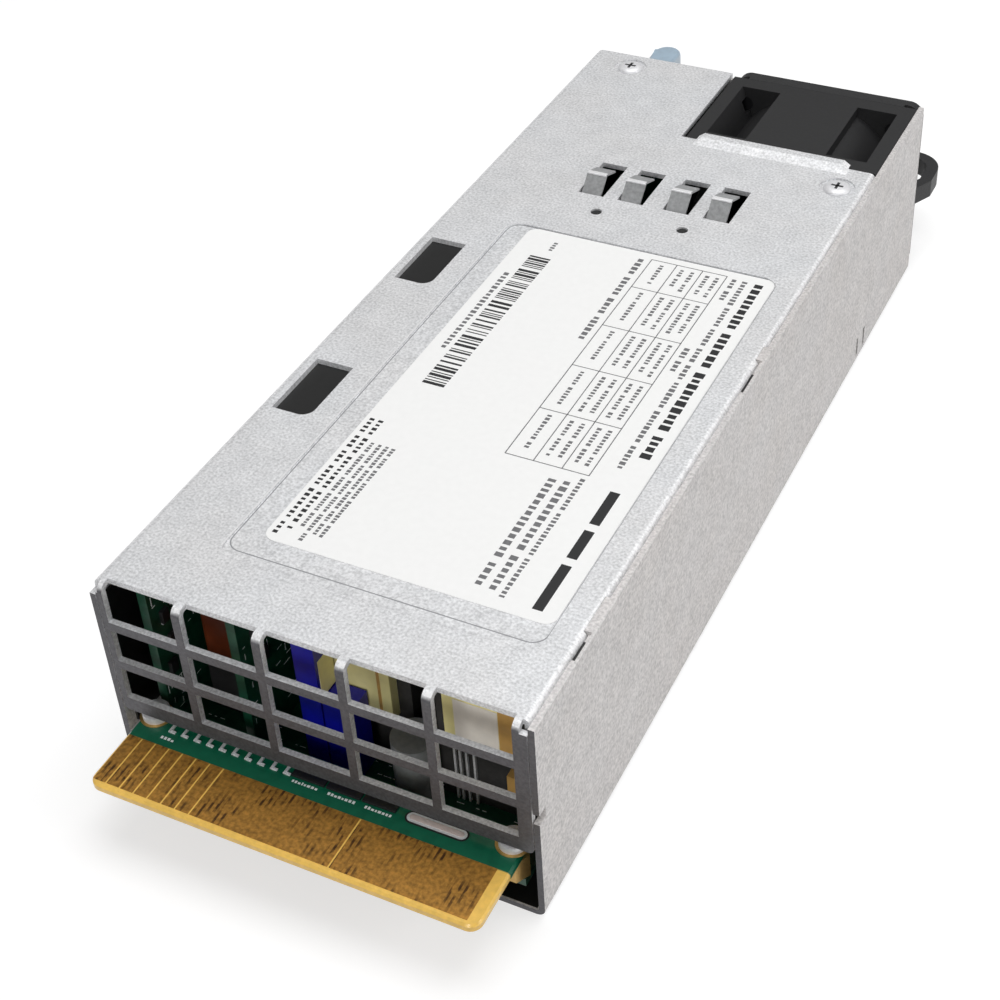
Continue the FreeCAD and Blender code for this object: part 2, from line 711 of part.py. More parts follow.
def top_cover():
    """Roof, left wall, grille and right inner flange, folded from one sheet."""
    piece = Piece("top_cover")
    inner = s.bend_radius - s.gauge
    corner = 1.2
    flange_foot = top - s.cover_flange
    bend_foot = top - s.bend_radius
    piece.pad("XZ", front + s.bend_radius, s.case_length - s.bend_radius, polygon(
        (left, 0), (left + s.gauge, 0), (left + s.gauge, roof, inner),
        (cover_right - s.gauge, roof), (cover_right - s.gauge, flange_foot),
        (cover_right, flange_foot), (cover_right, top, corner), (left, top, s.bend_radius),
    ))
    # Front edge of the left wall, grille flange and the bend that joins it to the roof
    piece.pad("XZ", front, 2 * s.bend_radius, rectangle(
        left, 0, left + s.gauge, bend_foot - 0.5))
    grille_left = left + s.gauge + s.seam_gap
    piece.pad("XZ", front, s.gauge, polygon(
        (grille_left, s.grille_bottom, 1.0), (cover_right, s.grille_bottom, 1.0),
        (cover_right, bend_foot), (grille_left, bend_foot),
    ))
    bend_left = left + s.bend_radius
    piece.pad("YZ", bend_left, cover_right - corner - bend_left, polygon(
        (front, bend_foot - 1), (front + s.gauge, bend_foot - 1), (front + s.gauge, roof, inner),
        (front + 2 * s.bend_radius, roof), (front + 2 * s.bend_radius, top), (front, top, s.bend_radius),
    ))
    cut_grille(piece)
    cut_roof(piece)
    # Slot for the latch hook in the left wall
    piece.pocket("YZ", left - s.gauge, 3 * s.gauge, rectangle(
        hook_y0 - 2.0, lever_level - 0.8, hook_y1 + 1.4, lever_top + 0.8))
    add_lip(piece)


def cut_grille(piece):
    """Windows of the grille: one pocket in each row, repeated across."""
    gaps = s.grille_columns - 1
    span = cover_right - left - 2 * s.grille_side
    width = (span - gaps * s.grille_bar) / s.grille_columns
    pitch = width + s.grille_bar
    height = (roof - s.grille_bottom - s.grille_sill - 2 * s.grille_rail) / 3
    x = left + s.grille_side
    z = s.grille_bottom + s.grille_sill
    for level in range(3):
        crest = z + height if level < 2 else top + 1
        depth = s.gauge + 1 if level < 2 else s.bend_radius + s.grille_wrap
        first = piece.pocket("XZ", front - 0.5, depth + 0.5,
                             rectangle(x, z, x + width, crest))
        piece.row(first, "X", gaps * pitch, s.grille_columns)
        z = z + height + s.grille_rail


def cut_roof(piece):
    """Recess, windows, slots, holes and openings of the roof."""
    piece.pocket("XY", top - s.recess_depth, s.gauge, rectangle(
        left + s.recess_left, front + s.recess_front, right - s.recess_right, rear - s.recess_rear,
        s.recess_round))
    vent_x0 = left + s.vent_left
    vent_x1 = vent_x0 + s.vent_width
    for y in vents:
        piece.pocket("XY", roof - 1, s.gauge + 2, polygon(
            (vent_x0, y), (vent_x1, y, s.vent_round),
            (vent_x1, y + s.vent_length), (vent_x0, y + s.vent_length)))
    half = s.finger_slot_width / 2
    for x in finger_middles:
        piece.pocket("XY", roof - 1, s.gauge + 2, rectangle(
            x - half, finger_y, x + half, finger_y + s.finger_slot_length))
    for x in spring_middles:
        piece.pocket("XY", roof - 1, s.gauge + 2, circle(x - 0.5, finger_y - s.pilot_front, s.pilot_radius))
    for x, y in cover_screws:
        piece.pocket("XY", top - s.dimple_depth, s.gauge, circle(x, y, s.dimple_radius))
        piece.pocket("XY", roof - 1, s.gauge + 2, circle(x, y, s.cover_screw_radius + 0.1))
    # Opening over the fan, through the inner flange as well
    piece.pocket("XY", fan_z, top, rectangle(
        fan_window_left, fan_window_front, right, rear + 1))
    # Passage of the right screw's ledge through the inner flange
    right_y = cover_screws[1][1]
    ledge = s.dimple_radius + 0.9
    piece.pocket("XY", roof - s.lap_gap - s.gauge - 0.2, s.gauge + s.lap_gap + 0.2, rectangle(
        cover_right - s.gauge - 0.1, right_y - ledge, cover_right + 0.1, right_y + ledge))
    # Notches that take the base's seam tabs
    for y, tab, slot in seam_tabs:
        piece.pocket("XY", roof - 0.6, s.gauge + 2, rectangle(
            cover_right - 0.6, y - 0.1, right, y + tab + 0.1))


def add_lip(piece):
    """Raised lip that holds the fan's front flange down."""
    edge = fan_window_front
    foot = edge - s.lip_run
    crest = top + s.lip_rise
    end = edge + s.lip_reach
    thick = s.gauge - 0.15
    start = fan_left + s.lip_left
    finish = right - s.lip_right
    piece.pad("YZ", start, finish - start, polygon(
        (foot, roof + 0.3), (edge, roof + 0.3), (edge, crest - thick), (end, crest - thick),
        (end, crest), (edge - 0.4, crest), (foot, top - 0.05),
    ))
    for x, step in ((start, s.lip_slope), (finish, -s.lip_slope)):
        piece.pocket("XZ", foot - 0.5, end - foot + 1.0, polygon(
            (x, top), (x + step, crest + 0.2), (x - step, crest + 0.2), (x - step, top)))


def insulation():
    """Films under the two side windows and on the left wall behind the grille."""
    films = []
    for number, y in enumerate(vents, start=1):
        film = document.addObject("Part::Box", f"insulating_film_{number}")
        bind(film, "Length", s.vent_width + s.film_margin)
        bind(film, "Width", s.vent_length + 2 * s.film_margin)
        bind(film, "Height", s.film_thickness)
        bind(film, "Placement.Base.x", left + s.vent_left - s.film_margin / 2)
        bind(film, "Placement.Base.y", y - s.film_margin)
        bind(film, "Placement.Base.z", roof - s.film_thickness)
        films.append(film)
    sheet_film = document.addObject("Part::Box", "insulating_film_wall")
    bind(sheet_film, "Length", s.film_thickness)
    bind(sheet_film, "Width", s.film_reach)
    bind(sheet_film, "Height", roof - s.bend_radius - s.base_flange - 1.0)
    bind(sheet_film, "Placement.Base.x", left + s.gauge)
    bind(sheet_film, "Placement.Base.y", front + 2 * s.gauge)
    bind(sheet_film, "Placement.Base.z", s.base_flange + 0.5)
    films.append(sheet_film)
    group("insulating_films", films)


def rating_label():
    """Blank label in the recess of the roof."""
    piece = Piece("rating_label")
    piece.pad("XY", top - s.recess_depth, s.label_thickness, rectangle(
        left + s.recess_left + s.label_left, front + s.recess_front + s.label_front,
        right - s.recess_right - s.label_margin, rear - s.recess_rear - s.label_margin, s.label_round))


def grounding_springs():
    """Two springs under the roof, each with two fingers that stand up through its slots."""
    springs = []
    for number, x in enumerate(spring_middles, start=1):
        piece = Piece(f"grounding_spring_{number}")
        pieces.remove(piece.body)
        outer = (s.finger_pitch + s.finger_slot_width) / 2 + 0.8
        root = finger_y + 0.3
        thick = s.finger_thickness
        piece.pad("XY", roof - thick, thick, rectangle(x - outer, finger_y - 3.6, x + outer, root, 0.5))
        crest_y = root + s.finger_run
        crest = top + s.finger_rise
        end = crest_y + s.finger_tail
        fall = crest - s.finger_fall
        for side in (-1, 1):
            middle = x + side * s.finger_pitch / 2 - 0.2
            piece.pad("YZ", middle - s.finger_width / 2, s.finger_width, polygon(
                (root - 0.6, roof - thick), (root + 0.1, roof - thick), (crest_y, crest - thick),
                (end, fall - thick), (end, fall), (crest_y - 0.15, crest), (root - 0.2, roof),
                (root - 0.6, roof),
            ))
        springs.append(piece.body)
    group("grounding_springs", springs)


def cover_screw_set():
    """Two screws of the cover."""
    solids = []
    for number, (x, y) in enumerate(cover_screws, start=1):
        solids.append(screw(f"cover_screw_{number}", x, y, top - s.dimple_depth,
                            s.cover_screw_radius, 3.2, s.cover_head_radius, s.cover_head_height))
    group("cover_screws", solids)


# --------------------------------------------------------------------------------------
# Fan
# --------------------------------------------------------------------------------------
def fan_frame():
    """Square frame with a round barrel, open corners, rear motor mount and bearing tube."""
    piece = Piece("fan_frame")
    z0 = fan_z - fan_side / 2
    z1 = fan_z + fan_side / 2
    piece.pad("XZ", fan_front, s.fan_depth, rectangle(fan_left, z0, fan_right, z1))
    waist = s.fan_depth - 2 * s.fan_flange
    deep = s.fan_void_depth
    # Open corners: the side walls slope towards the barrel
    for wall, slope, void in (
        (fan_left + s.fan_wall, s.wall_slope, fan_x - s.fan_void),
        (fan_right - s.fan_wall, -s.wall_slope, fan_x + s.fan_void),
    ):
        for edge, step in ((z0, 1), (z1, -1)):
            piece.pocket("XZ", fan_front + s.fan_flange, waist, polygon(
                (wall, edge - step), (void, edge - step), (void, edge + step * deep),
                (wall + slope, edge + step * deep)))
    piece.pad("XZ", fan_front + s.fan_flange, waist,
              circle(fan_x, fan_z, barrel), circle(fan_x, fan_z, bore))
    piece.pocket("XZ", fan_front - 1, s.fan_depth + 2, circle(fan_x, fan_z, bore))
    # Motor mount: four struts, a disc and the bearing tube
    mount = fan_rear - s.mount_inset - s.mount_thickness
    reach = bore + s.mount_inset
    arm = s.strut_half
    for dx, dz in ((reach, arm), (arm, reach)):
        piece.pad("XZ", mount, s.mount_thickness, rectangle(fan_x - dx, fan_z - dz, fan_x + dx, fan_z + dz))
    piece.pad("XZ", mount, s.mount_thickness, circle(fan_x, fan_z, s.fan_hub - 0.4))
    piece.pad("XZ", mount - s.tube_length, s.tube_length + 0.1,
              circle(fan_x, fan_z, s.tube_radius), circle(fan_x, fan_z, s.bearing_radius))
    for x, z in fan_corners():
        piece.pocket("XZ", fan_rear - 6.0, 7.0, circle(x, z, s.fan_screw_radius + 0.02))


def fan_rotor():
    """Hub cup with twisted blades, its own Z axis along the fan's axis."""
    piece = Piece("fan_rotor")
    length = s.rotor_length
    wall = s.rotor_wall
    piece.pad("XY", 0, length, circle(0, 0, s.fan_hub))
    piece.pocket("XY", wall, length, circle(0, 0, s.fan_hub - wall))
    piece.chamfer(0.8, lambda edge: abs(edge.BoundBox.ZMax) < 1e-6 and edge.BoundBox.XLength > 15)
    piece.pocket("XY", -1, wall + 2, circle(0, 0, s.fan_shaft_radius))
    blade = add_blade(piece, length)
    piece.ring(blade, "Z", s.fan_blades)
    piece.place(fan_x, fan_front + s.rotor_inset, fan_z, Rotation(Vector(1, 0, 0), -90))


def add_blade(piece, length):
    """One swept blade that thins from the hub to its tip."""
    loft = piece.body.newObject("PartDesign::AdditiveLoft", piece.next_name("loft"))
    reach = bore - s.fan_tip_gap
    edge = s.blade_sweep + s.blade_chord / 2
    tip_level = reach - edge * edge / (2 * reach) - 0.15
    root = piece.sketch("YZ", s.fan_hub - 0.9, [blade_section(0, length, 1.3)])
    tip = piece.sketch("YZ", tip_level, [blade_section(s.blade_sweep, length, 0.8)])
    loft.Profile = root
    loft.Sections = [tip]
    loft.Ruled = True
    return loft


def blade_section(shift, length, thick):
    """Slanted section of a blade: leading edge, trailing edge and two parallel faces."""
    lead = shift - s.blade_chord / 2
    trail = shift + s.blade_chord / 2
    low = s.blade_margin
    high = length - s.blade_margin
    return polygon(
        (lead, low), (lead + thick, low), (trail, high - thick), (trail, high),
        (trail - thick, high), (lead, low + thick))


def fan_inner_parts():
    """Shaft, magnet ring, bearings and stator."""
    hub_front = fan_front + s.rotor_inset
    shaft = Piece("fan_shaft")
    mount = fan_rear - s.mount_inset - s.mount_thickness
    shaft.pad("XZ", hub_front, mount - s.shaft_clear - hub_front, circle(fan_x, fan_z, s.fan_shaft_radius))
    magnet = Piece("fan_magnet")
    magnet.pad("XZ", hub_front + 3.0, s.magnet_length, circle(fan_x, fan_z, s.fan_hub - 1.2),
               circle(fan_x, fan_z, s.fan_hub - 2.2))
    bearings = []
    for number, start in enumerate((mount - s.tube_length, mount - 3.0), start=1):
        ring = Piece(f"fan_bearing_{number}")
        pieces.remove(ring.body)
        ring.pad("XZ", start, 2.6, circle(fan_x, fan_z, s.bearing_radius),
                 circle(fan_x, fan_z, s.fan_shaft_radius + s.bearing_gap))
        bearings.append(ring.body)
    group("fan_bearings", bearings)
    stator = Piece("fan_stator")
    stator.pad("XZ", mount - s.stator_front, s.stator_length, circle(fan_x, fan_z, s.fan_hub - 2.7),
               circle(fan_x, fan_z, s.tube_radius + 0.02))


def fan_screw_set():
    """Four screws through handle plate and rear panel into the fan."""
    solids = []
    for number, (x, z) in enumerate(fan_corners(), start=1):
        solids.append(screw(f"fan_screw_{number}", x, rear + s.handle_plate, z, s.fan_screw_radius,
                            6.5, 2.6, 1.2, axis="Y"))
    group("fan_screws", solids)


# --------------------------------------------------------------------------------------
# Handle, inlet and latch at the rear
# --------------------------------------------------------------------------------------
def pull_handle():
    """Moulded plate round the fan outlet with a level finger loop."""
    piece = Piece("pull_handle")
    x0 = fan_left + 0.1
    x1 = right - 0.4
    piece.pad("XZ", rear, s.handle_plate, rectangle(x0, 0.6, x1, top - s.lap_gap, s.handle_corner))
    # Rim that hooks over the rear panel
    piece.pad("XZ", panel_front + 0.05, s.gauge, rectangle(
        x0 + s.handle_corner, roof, right - s.gauge - s.handle_corner, top - s.lap_gap))
    piece.pocket("XZ", rear - 1, s.handle_plate + 2, circle(fan_x, fan_z, guard_radius))
    for x, z in fan_corners():
        piece.pocket("XZ", rear - 1, s.handle_plate + 2, circle(x, z, s.fan_screw_radius))
    low = s.handle_level - s.handle_tall / 2
    back = rear + s.handle_reach
    bar = s.handle_bar
    turn = s.handle_round
    foot = rear + s.handle_plate - 0.2
    neck = s.handle_neck
    neck_end = foot + s.handle_neck_run
    wide = neck_end + 2 * neck
    loop_x0 = x0 + 0.2
    loop_x1 = right - 0.05
    piece.pad("XY", low, s.handle_tall, polygon(
        (loop_x0 + neck, foot), (loop_x0 + neck, neck_end), (loop_x0, wide), (loop_x0, back, turn),
        (loop_x1, back, turn), (loop_x1, wide), (loop_x1 - neck, neck_end), (loop_x1 - neck, foot),
        (loop_x1 - neck - bar, foot), (loop_x1 - neck - bar, neck_end), (loop_x1 - bar, wide),
        (loop_x1 - bar, back - bar, turn - bar), (loop_x0 + bar, back - bar, turn - bar),
        (loop_x0 + bar, wide), (loop_x0 + neck + bar, neck_end), (loop_x0 + neck + bar, foot),
    ))


def ac_inlet():
    """Socket with three flat blades and the small board behind it."""
    piece = Piece("ac_inlet_housing")
    piece.pad("XZ", inlet_back, rear - inlet_back, rectangle(
        inlet_x0, inlet_z0, inlet_x1, inlet_z1, s.inlet_round))
    brim = s.inlet_brim_width
    piece.pad("XZ", rear, s.inlet_brim, rectangle(
        inlet_x0 - brim, inlet_z0 - brim, inlet_x1 + brim, inlet_z1 + brim, s.inlet_round + brim))
    wall = s.inlet_wall
    piece.pocket("XZ", socket_floor, s.inlet_depth + 1, rectangle(
        inlet_x0 + wall, inlet_z0 + wall, inlet_x1 - wall, inlet_z1 - wall, s.inlet_round))
    blades = inlet_blade_places()
    for x, z in blades:
        piece.pocket("XZ", inlet_back - 1, s.inlet_floor + 2, blade_outline(x, z))
    group_solids = []
    for number, (x, z) in enumerate(blades, start=1):
        blade = Piece(f"inlet_blade_{number}")
        pieces.remove(blade.body)
        start = inlet_back - 5.0
        blade.pad("XZ", start, socket_floor + s.blade_length - start, blade_outline(x, z))
        group_solids.append(blade.body)
    group("inlet_blades", group_solids)
    board = Piece("inlet_board")
    board.pad("XZ", inlet_back - 4.0, s.board_thickness, rectangle(
        inlet_x0 + 0.4, board_top, inlet_x1 - 0.4, inlet_z1 + 1.0))
    for x, z in blades:
        board.pocket("XZ", inlet_back - 5.0, 4.0, blade_outline(x, z))


def blade_outline(x, z):
    """Section of an inlet blade."""
    half = s.blade_thickness / 2
    tall = s.blade_height / 2
    return rectangle(x - half, z - tall, x + half, z + tall)


def inlet_blade_places():
    """Centres of the line, neutral and earth blades."""
    low = inlet_z - s.blade_drop
    return [
        (inlet_x - s.blade_spread, low),
        (inlet_x + s.blade_spread, low),
        (inlet_x, inlet_z + s.earth_rise),
    ]


def status_light():
    """Light pipe of the status lamp."""
    piece = Piece("status_light_pipe")
    piece.pad("XZ", panel_front - 8.0, 8.0 + s.gauge + 0.5, circle(light_x, light_z, s.light_radius))
    piece.pad("XZ", panel_front - 10.0, 2.2, rectangle(
        light_x - 2.0, light_z - 2.0, light_x + 2.0, light_z + 2.0))


def latch():
    """Lever with hook, soft grip, pivot pin, bracket and return spring."""
    lever = Piece("latch_lever")
    arm_x0 = pivot_x - 3.4
    arm_x1 = pivot_x + 1.4
    cross = hook_y1 + 3.0
    lever.pad("XY", lever_level, s.lever_gauge, polygon(
        (pivot_x - 1.9, pivot_y - 9.0), (pivot_x + 3.4, pivot_y - 9.0), (pivot_x + 3.4, pivot_y + 4.0),
        (arm_x1, pivot_y + 8.0), (arm_x1, cross), (tail_x1, cross + 2.0), (tail_x1, tail_end),
        (tail_x0, tail_end), (tail_x0, cross + 7.0), (arm_x0 + 1.0, cross + 2.0),
        (arm_x0 + 0.2, hook_y1), (hook_tip, hook_y1), (hook_tip, hook_y1 - 1.5), (arm_x0 + 0.2, hook_y0),
        (arm_x0 + 0.2, pivot_y - 3.0), (pivot_x - 1.9, pivot_y - 4.2),
    ))
    lever.pocket("XY", lever_level - 1, s.lever_gauge + 2, circle(
        pivot_x, pivot_y, s.pivot_radius + s.pivot_gap))
    lever.pad("XY", lever_top - 0.1, 2.9, rectangle(
        pivot_x + 0.6, pivot_y - 9.0, pivot_x + 1.6, pivot_y - 4.4))
    grip = Piece("latch_grip")
    grip_z0 = lever_level + s.lever_gauge / 2 - s.grip_height / 2
    grip_y0 = rear + s.grip_gap
    grip_end = rear + s.grip_length
    grip.pad("XY", grip_z0, s.grip_height, polygon(
        (grip_x0, grip_y0), (grip_x1, grip_y0), (grip_x1, grip_end, s.grip_width / 2 - 0.1),
        (grip_x0, grip_end, s.grip_width / 2 - 0.1),
    ))
    grip.pocket("XY", lever_level, s.lever_gauge, rectangle(
        tail_x0, grip_y0 - 1, tail_x1, tail_end))
    pin_piece = Piece("latch_pivot")
    bracket_top = lever_level - s.lever_play
    pin_piece.pad("XY", bracket_top - s.gauge, lever_top + s.lever_play - bracket_top + s.gauge,
                  circle(pivot_x, pivot_y, s.pivot_radius))
    pin_piece.pad("XY", lever_top + s.lever_play, 1.2, circle(pivot_x, pivot_y, 2.6))
    latch_bracket(bracket_top)
    latch_spring()


def latch_bracket(bracket_top):
    """Folded bracket that stands on the floor beside the base's flange and carries the pivot."""
    piece = Piece("latch_bracket")
    x0 = base_left + s.gauge + 0.1
    y0 = pivot_y - 9.0
    length = Size("14.0", 14.0)
    piece.pad("XZ", y0, length, polygon(
        (x0, s.gauge + 0.5), (x0 + s.gauge, s.gauge + 0.5), (x0 + s.gauge, bracket_top - s.gauge),
        (pivot_x + 4.0, bracket_top - s.gauge), (pivot_x + 4.0, bracket_top), (x0, bracket_top),
    ))
    piece.pocket("XY", bracket_top - 2 * s.gauge, 3 * s.gauge, circle(
        pivot_x, pivot_y, s.pivot_radius))
    piece.pad("XY", bracket_top - 0.2, 4.2, rectangle(
        pivot_x - 4.6, pivot_y - 9.0, pivot_x - 3.8, pivot_y - 4.4))


def latch_spring():
    """Return spring: a zigzag leaf between the bracket's ear and the lever's ear."""
    piece = Piece("latch_spring")
    start = pivot_x - 3.75
    fold = s.spring_length / 4
    ahead, back = [], []
    for i in range(5):
        y = pivot_y - 8.4 + (i % 2) * s.spring_depth
        ahead.append((start + i * fold, y))
        back.append((start + i * fold, y + s.spring_leaf))
    piece.pad("XY", lever_top + 0.7, s.spring_height, polygon(*ahead, *reversed(back)))


# --------------------------------------------------------------------------------------
# Output board at the card edge
# --------------------------------------------------------------------------------------
def output_board():
    """Card-edge board with bevelled tip, its contacts, screws and standoffs."""
    board = Piece("output_board")
    half = edge_half
    board.pad("XY", s.edge_level, s.board_thickness, polygon(
        (-half, card_tip, s.edge_round), (half, card_tip, s.edge_round),
        (half, front + s.edge_inside), (-half, front + s.edge_inside),
    ))
    board.chamfer(s.edge_bevel, lambda edge: abs(edge.BoundBox.Center.y - card_tip.number) < 0.01
                  and edge.BoundBox.XLength > 10)
    screws, standoffs = [], []
    for number, x in enumerate((s.edge_screw_inset - half, half - s.edge_screw_inset), start=1):
        y = front + s.edge_screw_y
        board.pocket("XY", s.edge_level - 1, s.board_thickness + 2, circle(x, y, s.small_screw_radius))
        screws.append(screw(f"edge_screw_{number}", x, y, edge_top, s.small_screw_radius,
                            s.board_thickness + 3.0, s.small_head_radius, s.small_head_height))
        standoff = Piece(f"edge_standoff_{number}")
        pieces.remove(standoff.body)
        standoff.pad("XY", board_top, s.edge_level - board_top, hexagon(x, y, s.standoff_radius),
                     circle(x, y, s.small_screw_radius))
        standoffs.append(standoff.body)
    group("edge_screws", screws)
    group("edge_standoffs", standoffs)
    header = Piece("board_header")
    header.pad("XY", board_top, s.edge_level - board_top, rectangle(
        -17.0, front + 1.4, 17.0, front + s.edge_inside - 0.4))
    contacts()


def contacts():
    """Narrow signal contacts and broad power contacts on both faces of the card edge."""
    y0 = card_tip + s.contact_margin
    y1 = front - s.contact_start
    start = s.contact_left - edge_half
    narrow, broad = [], []
    levels = (edge_top, s.edge_level - s.contact_thickness)
    for side, z in enumerate(levels):
        for i in range(int(s.signal_count.number)):
            x0 = start + i * s.signal_pitch
            narrow.append(contact(f"signal_{side}_{i}", x0, y0, z, s.signal_pitch - s.contact_gap, y1 - y0))
        first = start + s.signal_count * s.signal_pitch
        last = edge_half - s.contact_right
        split = first + (last - first) * s.power_share
        spans = ((first, split - s.contact_gap / 2), (split + s.contact_gap / 2, last))
        for i, (x0, x1) in enumerate(spans):
            broad.append(contact(f"power_{side}_{i}", x0, y0, z, x1 - x0, y1 - y0))
    group("signal_contacts", narrow)
    group("power_contacts", broad)


def contact(name, x, y, z, width, length):
    """One flat contact."""
    box = document.addObject("Part::Box", name)
    bind(box, "Length", width)
    bind(box, "Width", length)
    bind(box, "Height", s.contact_thickness)
    for letter, size in (("x", x), ("y", y), ("z", z)):
        bind(box, f"Placement.Base.{letter}", size)
    return box


# --------------------------------------------------------------------------------------
# Inside: boards and the parts that stand on them
# --------------------------------------------------------------------------------------
def main_board():
    """Main board on its standoffs, clear of the fan."""
    board = Piece("main_board")
    half = s.case_width / 2 - s.main_margin
    y0 = front + s.main_front
    y1 = rear - s.main_rear
    board.pad("XY", s.main_level, s.board_thickness, rectangle(-half, y0, half, y1))
    places = [
        (across(12.75), along(41.5)),
        (across(67.25), along(48.5)),
        (across(9.0), y1 - 4.5),
        (across(65.75), y1 - 5.0),
    ]
    screws, standoffs = [], []
    for number, (x, y) in enumerate(places, start=1):
        board.pocket("XY", s.main_level - 1, s.board_thickness + 2, circle(x, y, s.small_screw_radius))
        screws.append(screw(f"main_screw_{number}", x, y, board_top, s.small_screw_radius,
                            s.board_thickness + 2.6, s.small_head_radius, s.small_head_height))
        standoff = Piece(f"main_standoff_{number}")
        pieces.remove(standoff.body)
        standoff.pad("XY", s.gauge, s.main_level - s.gauge, hexagon(x, y, s.standoff_radius),
                     circle(x, y, s.small_screw_radius))
        standoffs.append(standoff.body)
    group("main_screws", screws)
    group("main_standoffs", standoffs)


def block(label, x0, x1, y0, y1, height, radius=None, listed=True):
    """A moulded part on the main board, placed in the bay."""
    piece = Piece(label)
    if not listed:
        pieces.remove(piece.body)
    piece.pad("XY", board_top, tall(height), rectangle(
        across(x0), along(y0), across(x1), along(y1), radius))
    return piece


def can(label, x, y, radius, height, listed=True):
    """An upright round can on the main board."""
    piece = Piece(label)
    if not listed:
        pieces.remove(piece.body)
    piece.pad("XY", board_top, tall(height), circle(across(x), along(y), s.case_width * (radius / BAY[0])))
    return piece


def wound_core(core_label, winding_label, spans, heights):
    """Ferrite core with a window, and the taped winding that fills the window and stands out of it."""
    x0, x1, y0, y1 = spans
    low, high, height = (board_top + tall(z) for z in heights)
    leg = s.core_leg
    core = Piece(core_label)
    core.pad("XY", board_top, height - board_top, rectangle(
        across(x0), along(y0) + s.winding_stand, across(x1), along(y1) - s.winding_stand))
    core.pocket("XZ", along(y0), along(y1) - along(y0), rectangle(
        across(x0) + leg, low, across(x1) - leg, high))
    winding = Piece(winding_label)
    winding.pad("XZ", along(y0), along(y1) - along(y0), rectangle(
        across(x0) + leg, low, across(x1) - leg, high))
    return core.body, winding.body


def inner_parts():
    """Boards, magnetics, capacitors and heatsinks between the grille and the inlet."""
    for label, x, y0, y1, height in (
        ("control_board", 4.6, 4.6, 46.0, 30.0),
        ("driver_board", 19.6, 5.6, 40.0, 29.0),
    ):
        piece = Piece(label)
        piece.pad("XY", board_top, tall(height), rectangle(
            across(x), along(y0), across(x) + s.board_thickness, along(y1)))
    block("snubber_capacitor", 9.0, 16.0, 12.0, 30.0, 25.0, 0.8)
    films = [
        block("film_capacitor_1", 29.4, 33.2, 7.6, 12.2, 29.0, listed=False).body,
        block("film_capacitor_2", 33.5, 38.6, 7.6, 12.2, 15.3, listed=False).body,
    ]
    group("film_capacitors", films)
    cores, windings = [], []
    for number, (spans, heights) in enumerate((
        ((27.0, 45.0, 12.6, 38.0), (9.8, 26.0, 30.0)),
        ((51.4, 68.0, 9.0, 33.0), (14.5, 26.0, 30.0)),
    ), start=1):
        core, winding = wound_core(
            f"transformer_core_{number}", f"transformer_winding_{number}", spans, heights)
        pieces.remove(core)
        pieces.remove(winding)
        cores.append(core)
        windings.append(winding)
    group("transformer_cores", cores)
    group("transformer_windings", windings)
    can("output_choke", 48.3, 8.9, 3.6, 13.0)
    capacitors = [
        can(f"output_capacitor_{i}", 44.6 + 6.4 * i, 43.0, 3.0, 18.0, False).body
        for i in range(4)
    ]
    group("output_capacitors", capacitors)
    heatsink()
    bulk_capacitors()
    wound_core("boost_choke_core", "boost_choke_winding", (38.0, 64.0, 93.0, 119.0), (4.0, 20.0, 24.0))
    wound_core("filter_choke_core", "filter_choke_winding", (40.0, 62.0, 126.0, 148.0), (4.0, 14.0, 18.0))
    bridge_rectifier()
    block("line_capacitor", 14.0, 32.0, 122.0, 131.0, 19.0)
    fuse()


def bridge_rectifier():
    """Upright rectifier near the end of the main board, clear of the screw there."""
    piece = Piece("bridge_rectifier")
    end = rear - s.main_rear
    piece.pad("XY", board_top, tall(22.0), rectangle(
        across(4.6), end - s.rectifier_front, across(8.2), end - s.rectifier_rear))


def heatsink():
    """Finned aluminium sink of the output rectifiers, one extruded profile."""
    piece = Piece("rectifier_heatsink")
    start = along(50.0)
    length = along(84.0) - start
    z0 = board_top
    piece.pad("XZ", start, length, rectangle(across(6.0), z0, across(6.0) + 2.5, z0 + tall(28.0)))
    fins = 5
    fin = piece.pad("XZ", start, length, rectangle(
        across(6.0) + 1.0, z0 + tall(3.0), across(22.0), z0 + tall(4.4)))
    piece.row(fin, "Z", tall(21.6), fins)


def bulk_capacitors():
    """Two lying electrolytic cans that hold the rectified line."""
    cans = []
    for number, (x, y, radius) in enumerate(((18.0, 88.0, 11.0), (50.0, 52.0, 9.0)), start=1):
        piece = Piece(f"bulk_capacitor_{number}")
        pieces.remove(piece.body)
        size = s.case_width * (radius / BAY[0])
        piece.pad("XZ", along(y), along(y + 30.0) - along(y),
                  circle(across(x), board_top + size + 0.02, size))
        cans.append(piece.body)
    group("bulk_capacitors", cans)


def fuse():
    """Line fuse, lying across the board."""
    piece = Piece("line_fuse")
    radius = s.fuse_radius
    piece.pad("YZ", across(14.0), across(34.0) - across(14.0),
              circle(along(140.0), board_top + radius, radius))


def build():
    """Make every piece."""
    base_chassis()
    top_cover()
    insulation()
    rating_label()
    grounding_springs()
    cover_screw_set()
    fan_frame()
    fan_rotor()
    fan_inner_parts()
    fan_screw_set()
    pull_handle()
    ac_inlet()
    status_light()
    latch()
    output_board()
    main_board()
    inner_parts()


def check_and_export():
    """Stop on any failed object or solid, then write one STEP file for each piece."""
    document.recompute()
    for thing in document.Objects:
        if "Invalid" in thing.State or "Error" in thing.State:
            raise RuntimeError(f"{thing.Label} failed: {thing.State}")
    os.makedirs("parts", exist_ok=True)
    for piece in pieces:
        shape = piece.Shape
        if shape.isNull() or not shape.isValid() or not shape.Solids:
            raise RuntimeError(f"{piece.Label} has no valid solid")
        shape.exportStep(f"parts/{piece.Label}.step")


build()
check_and_export()
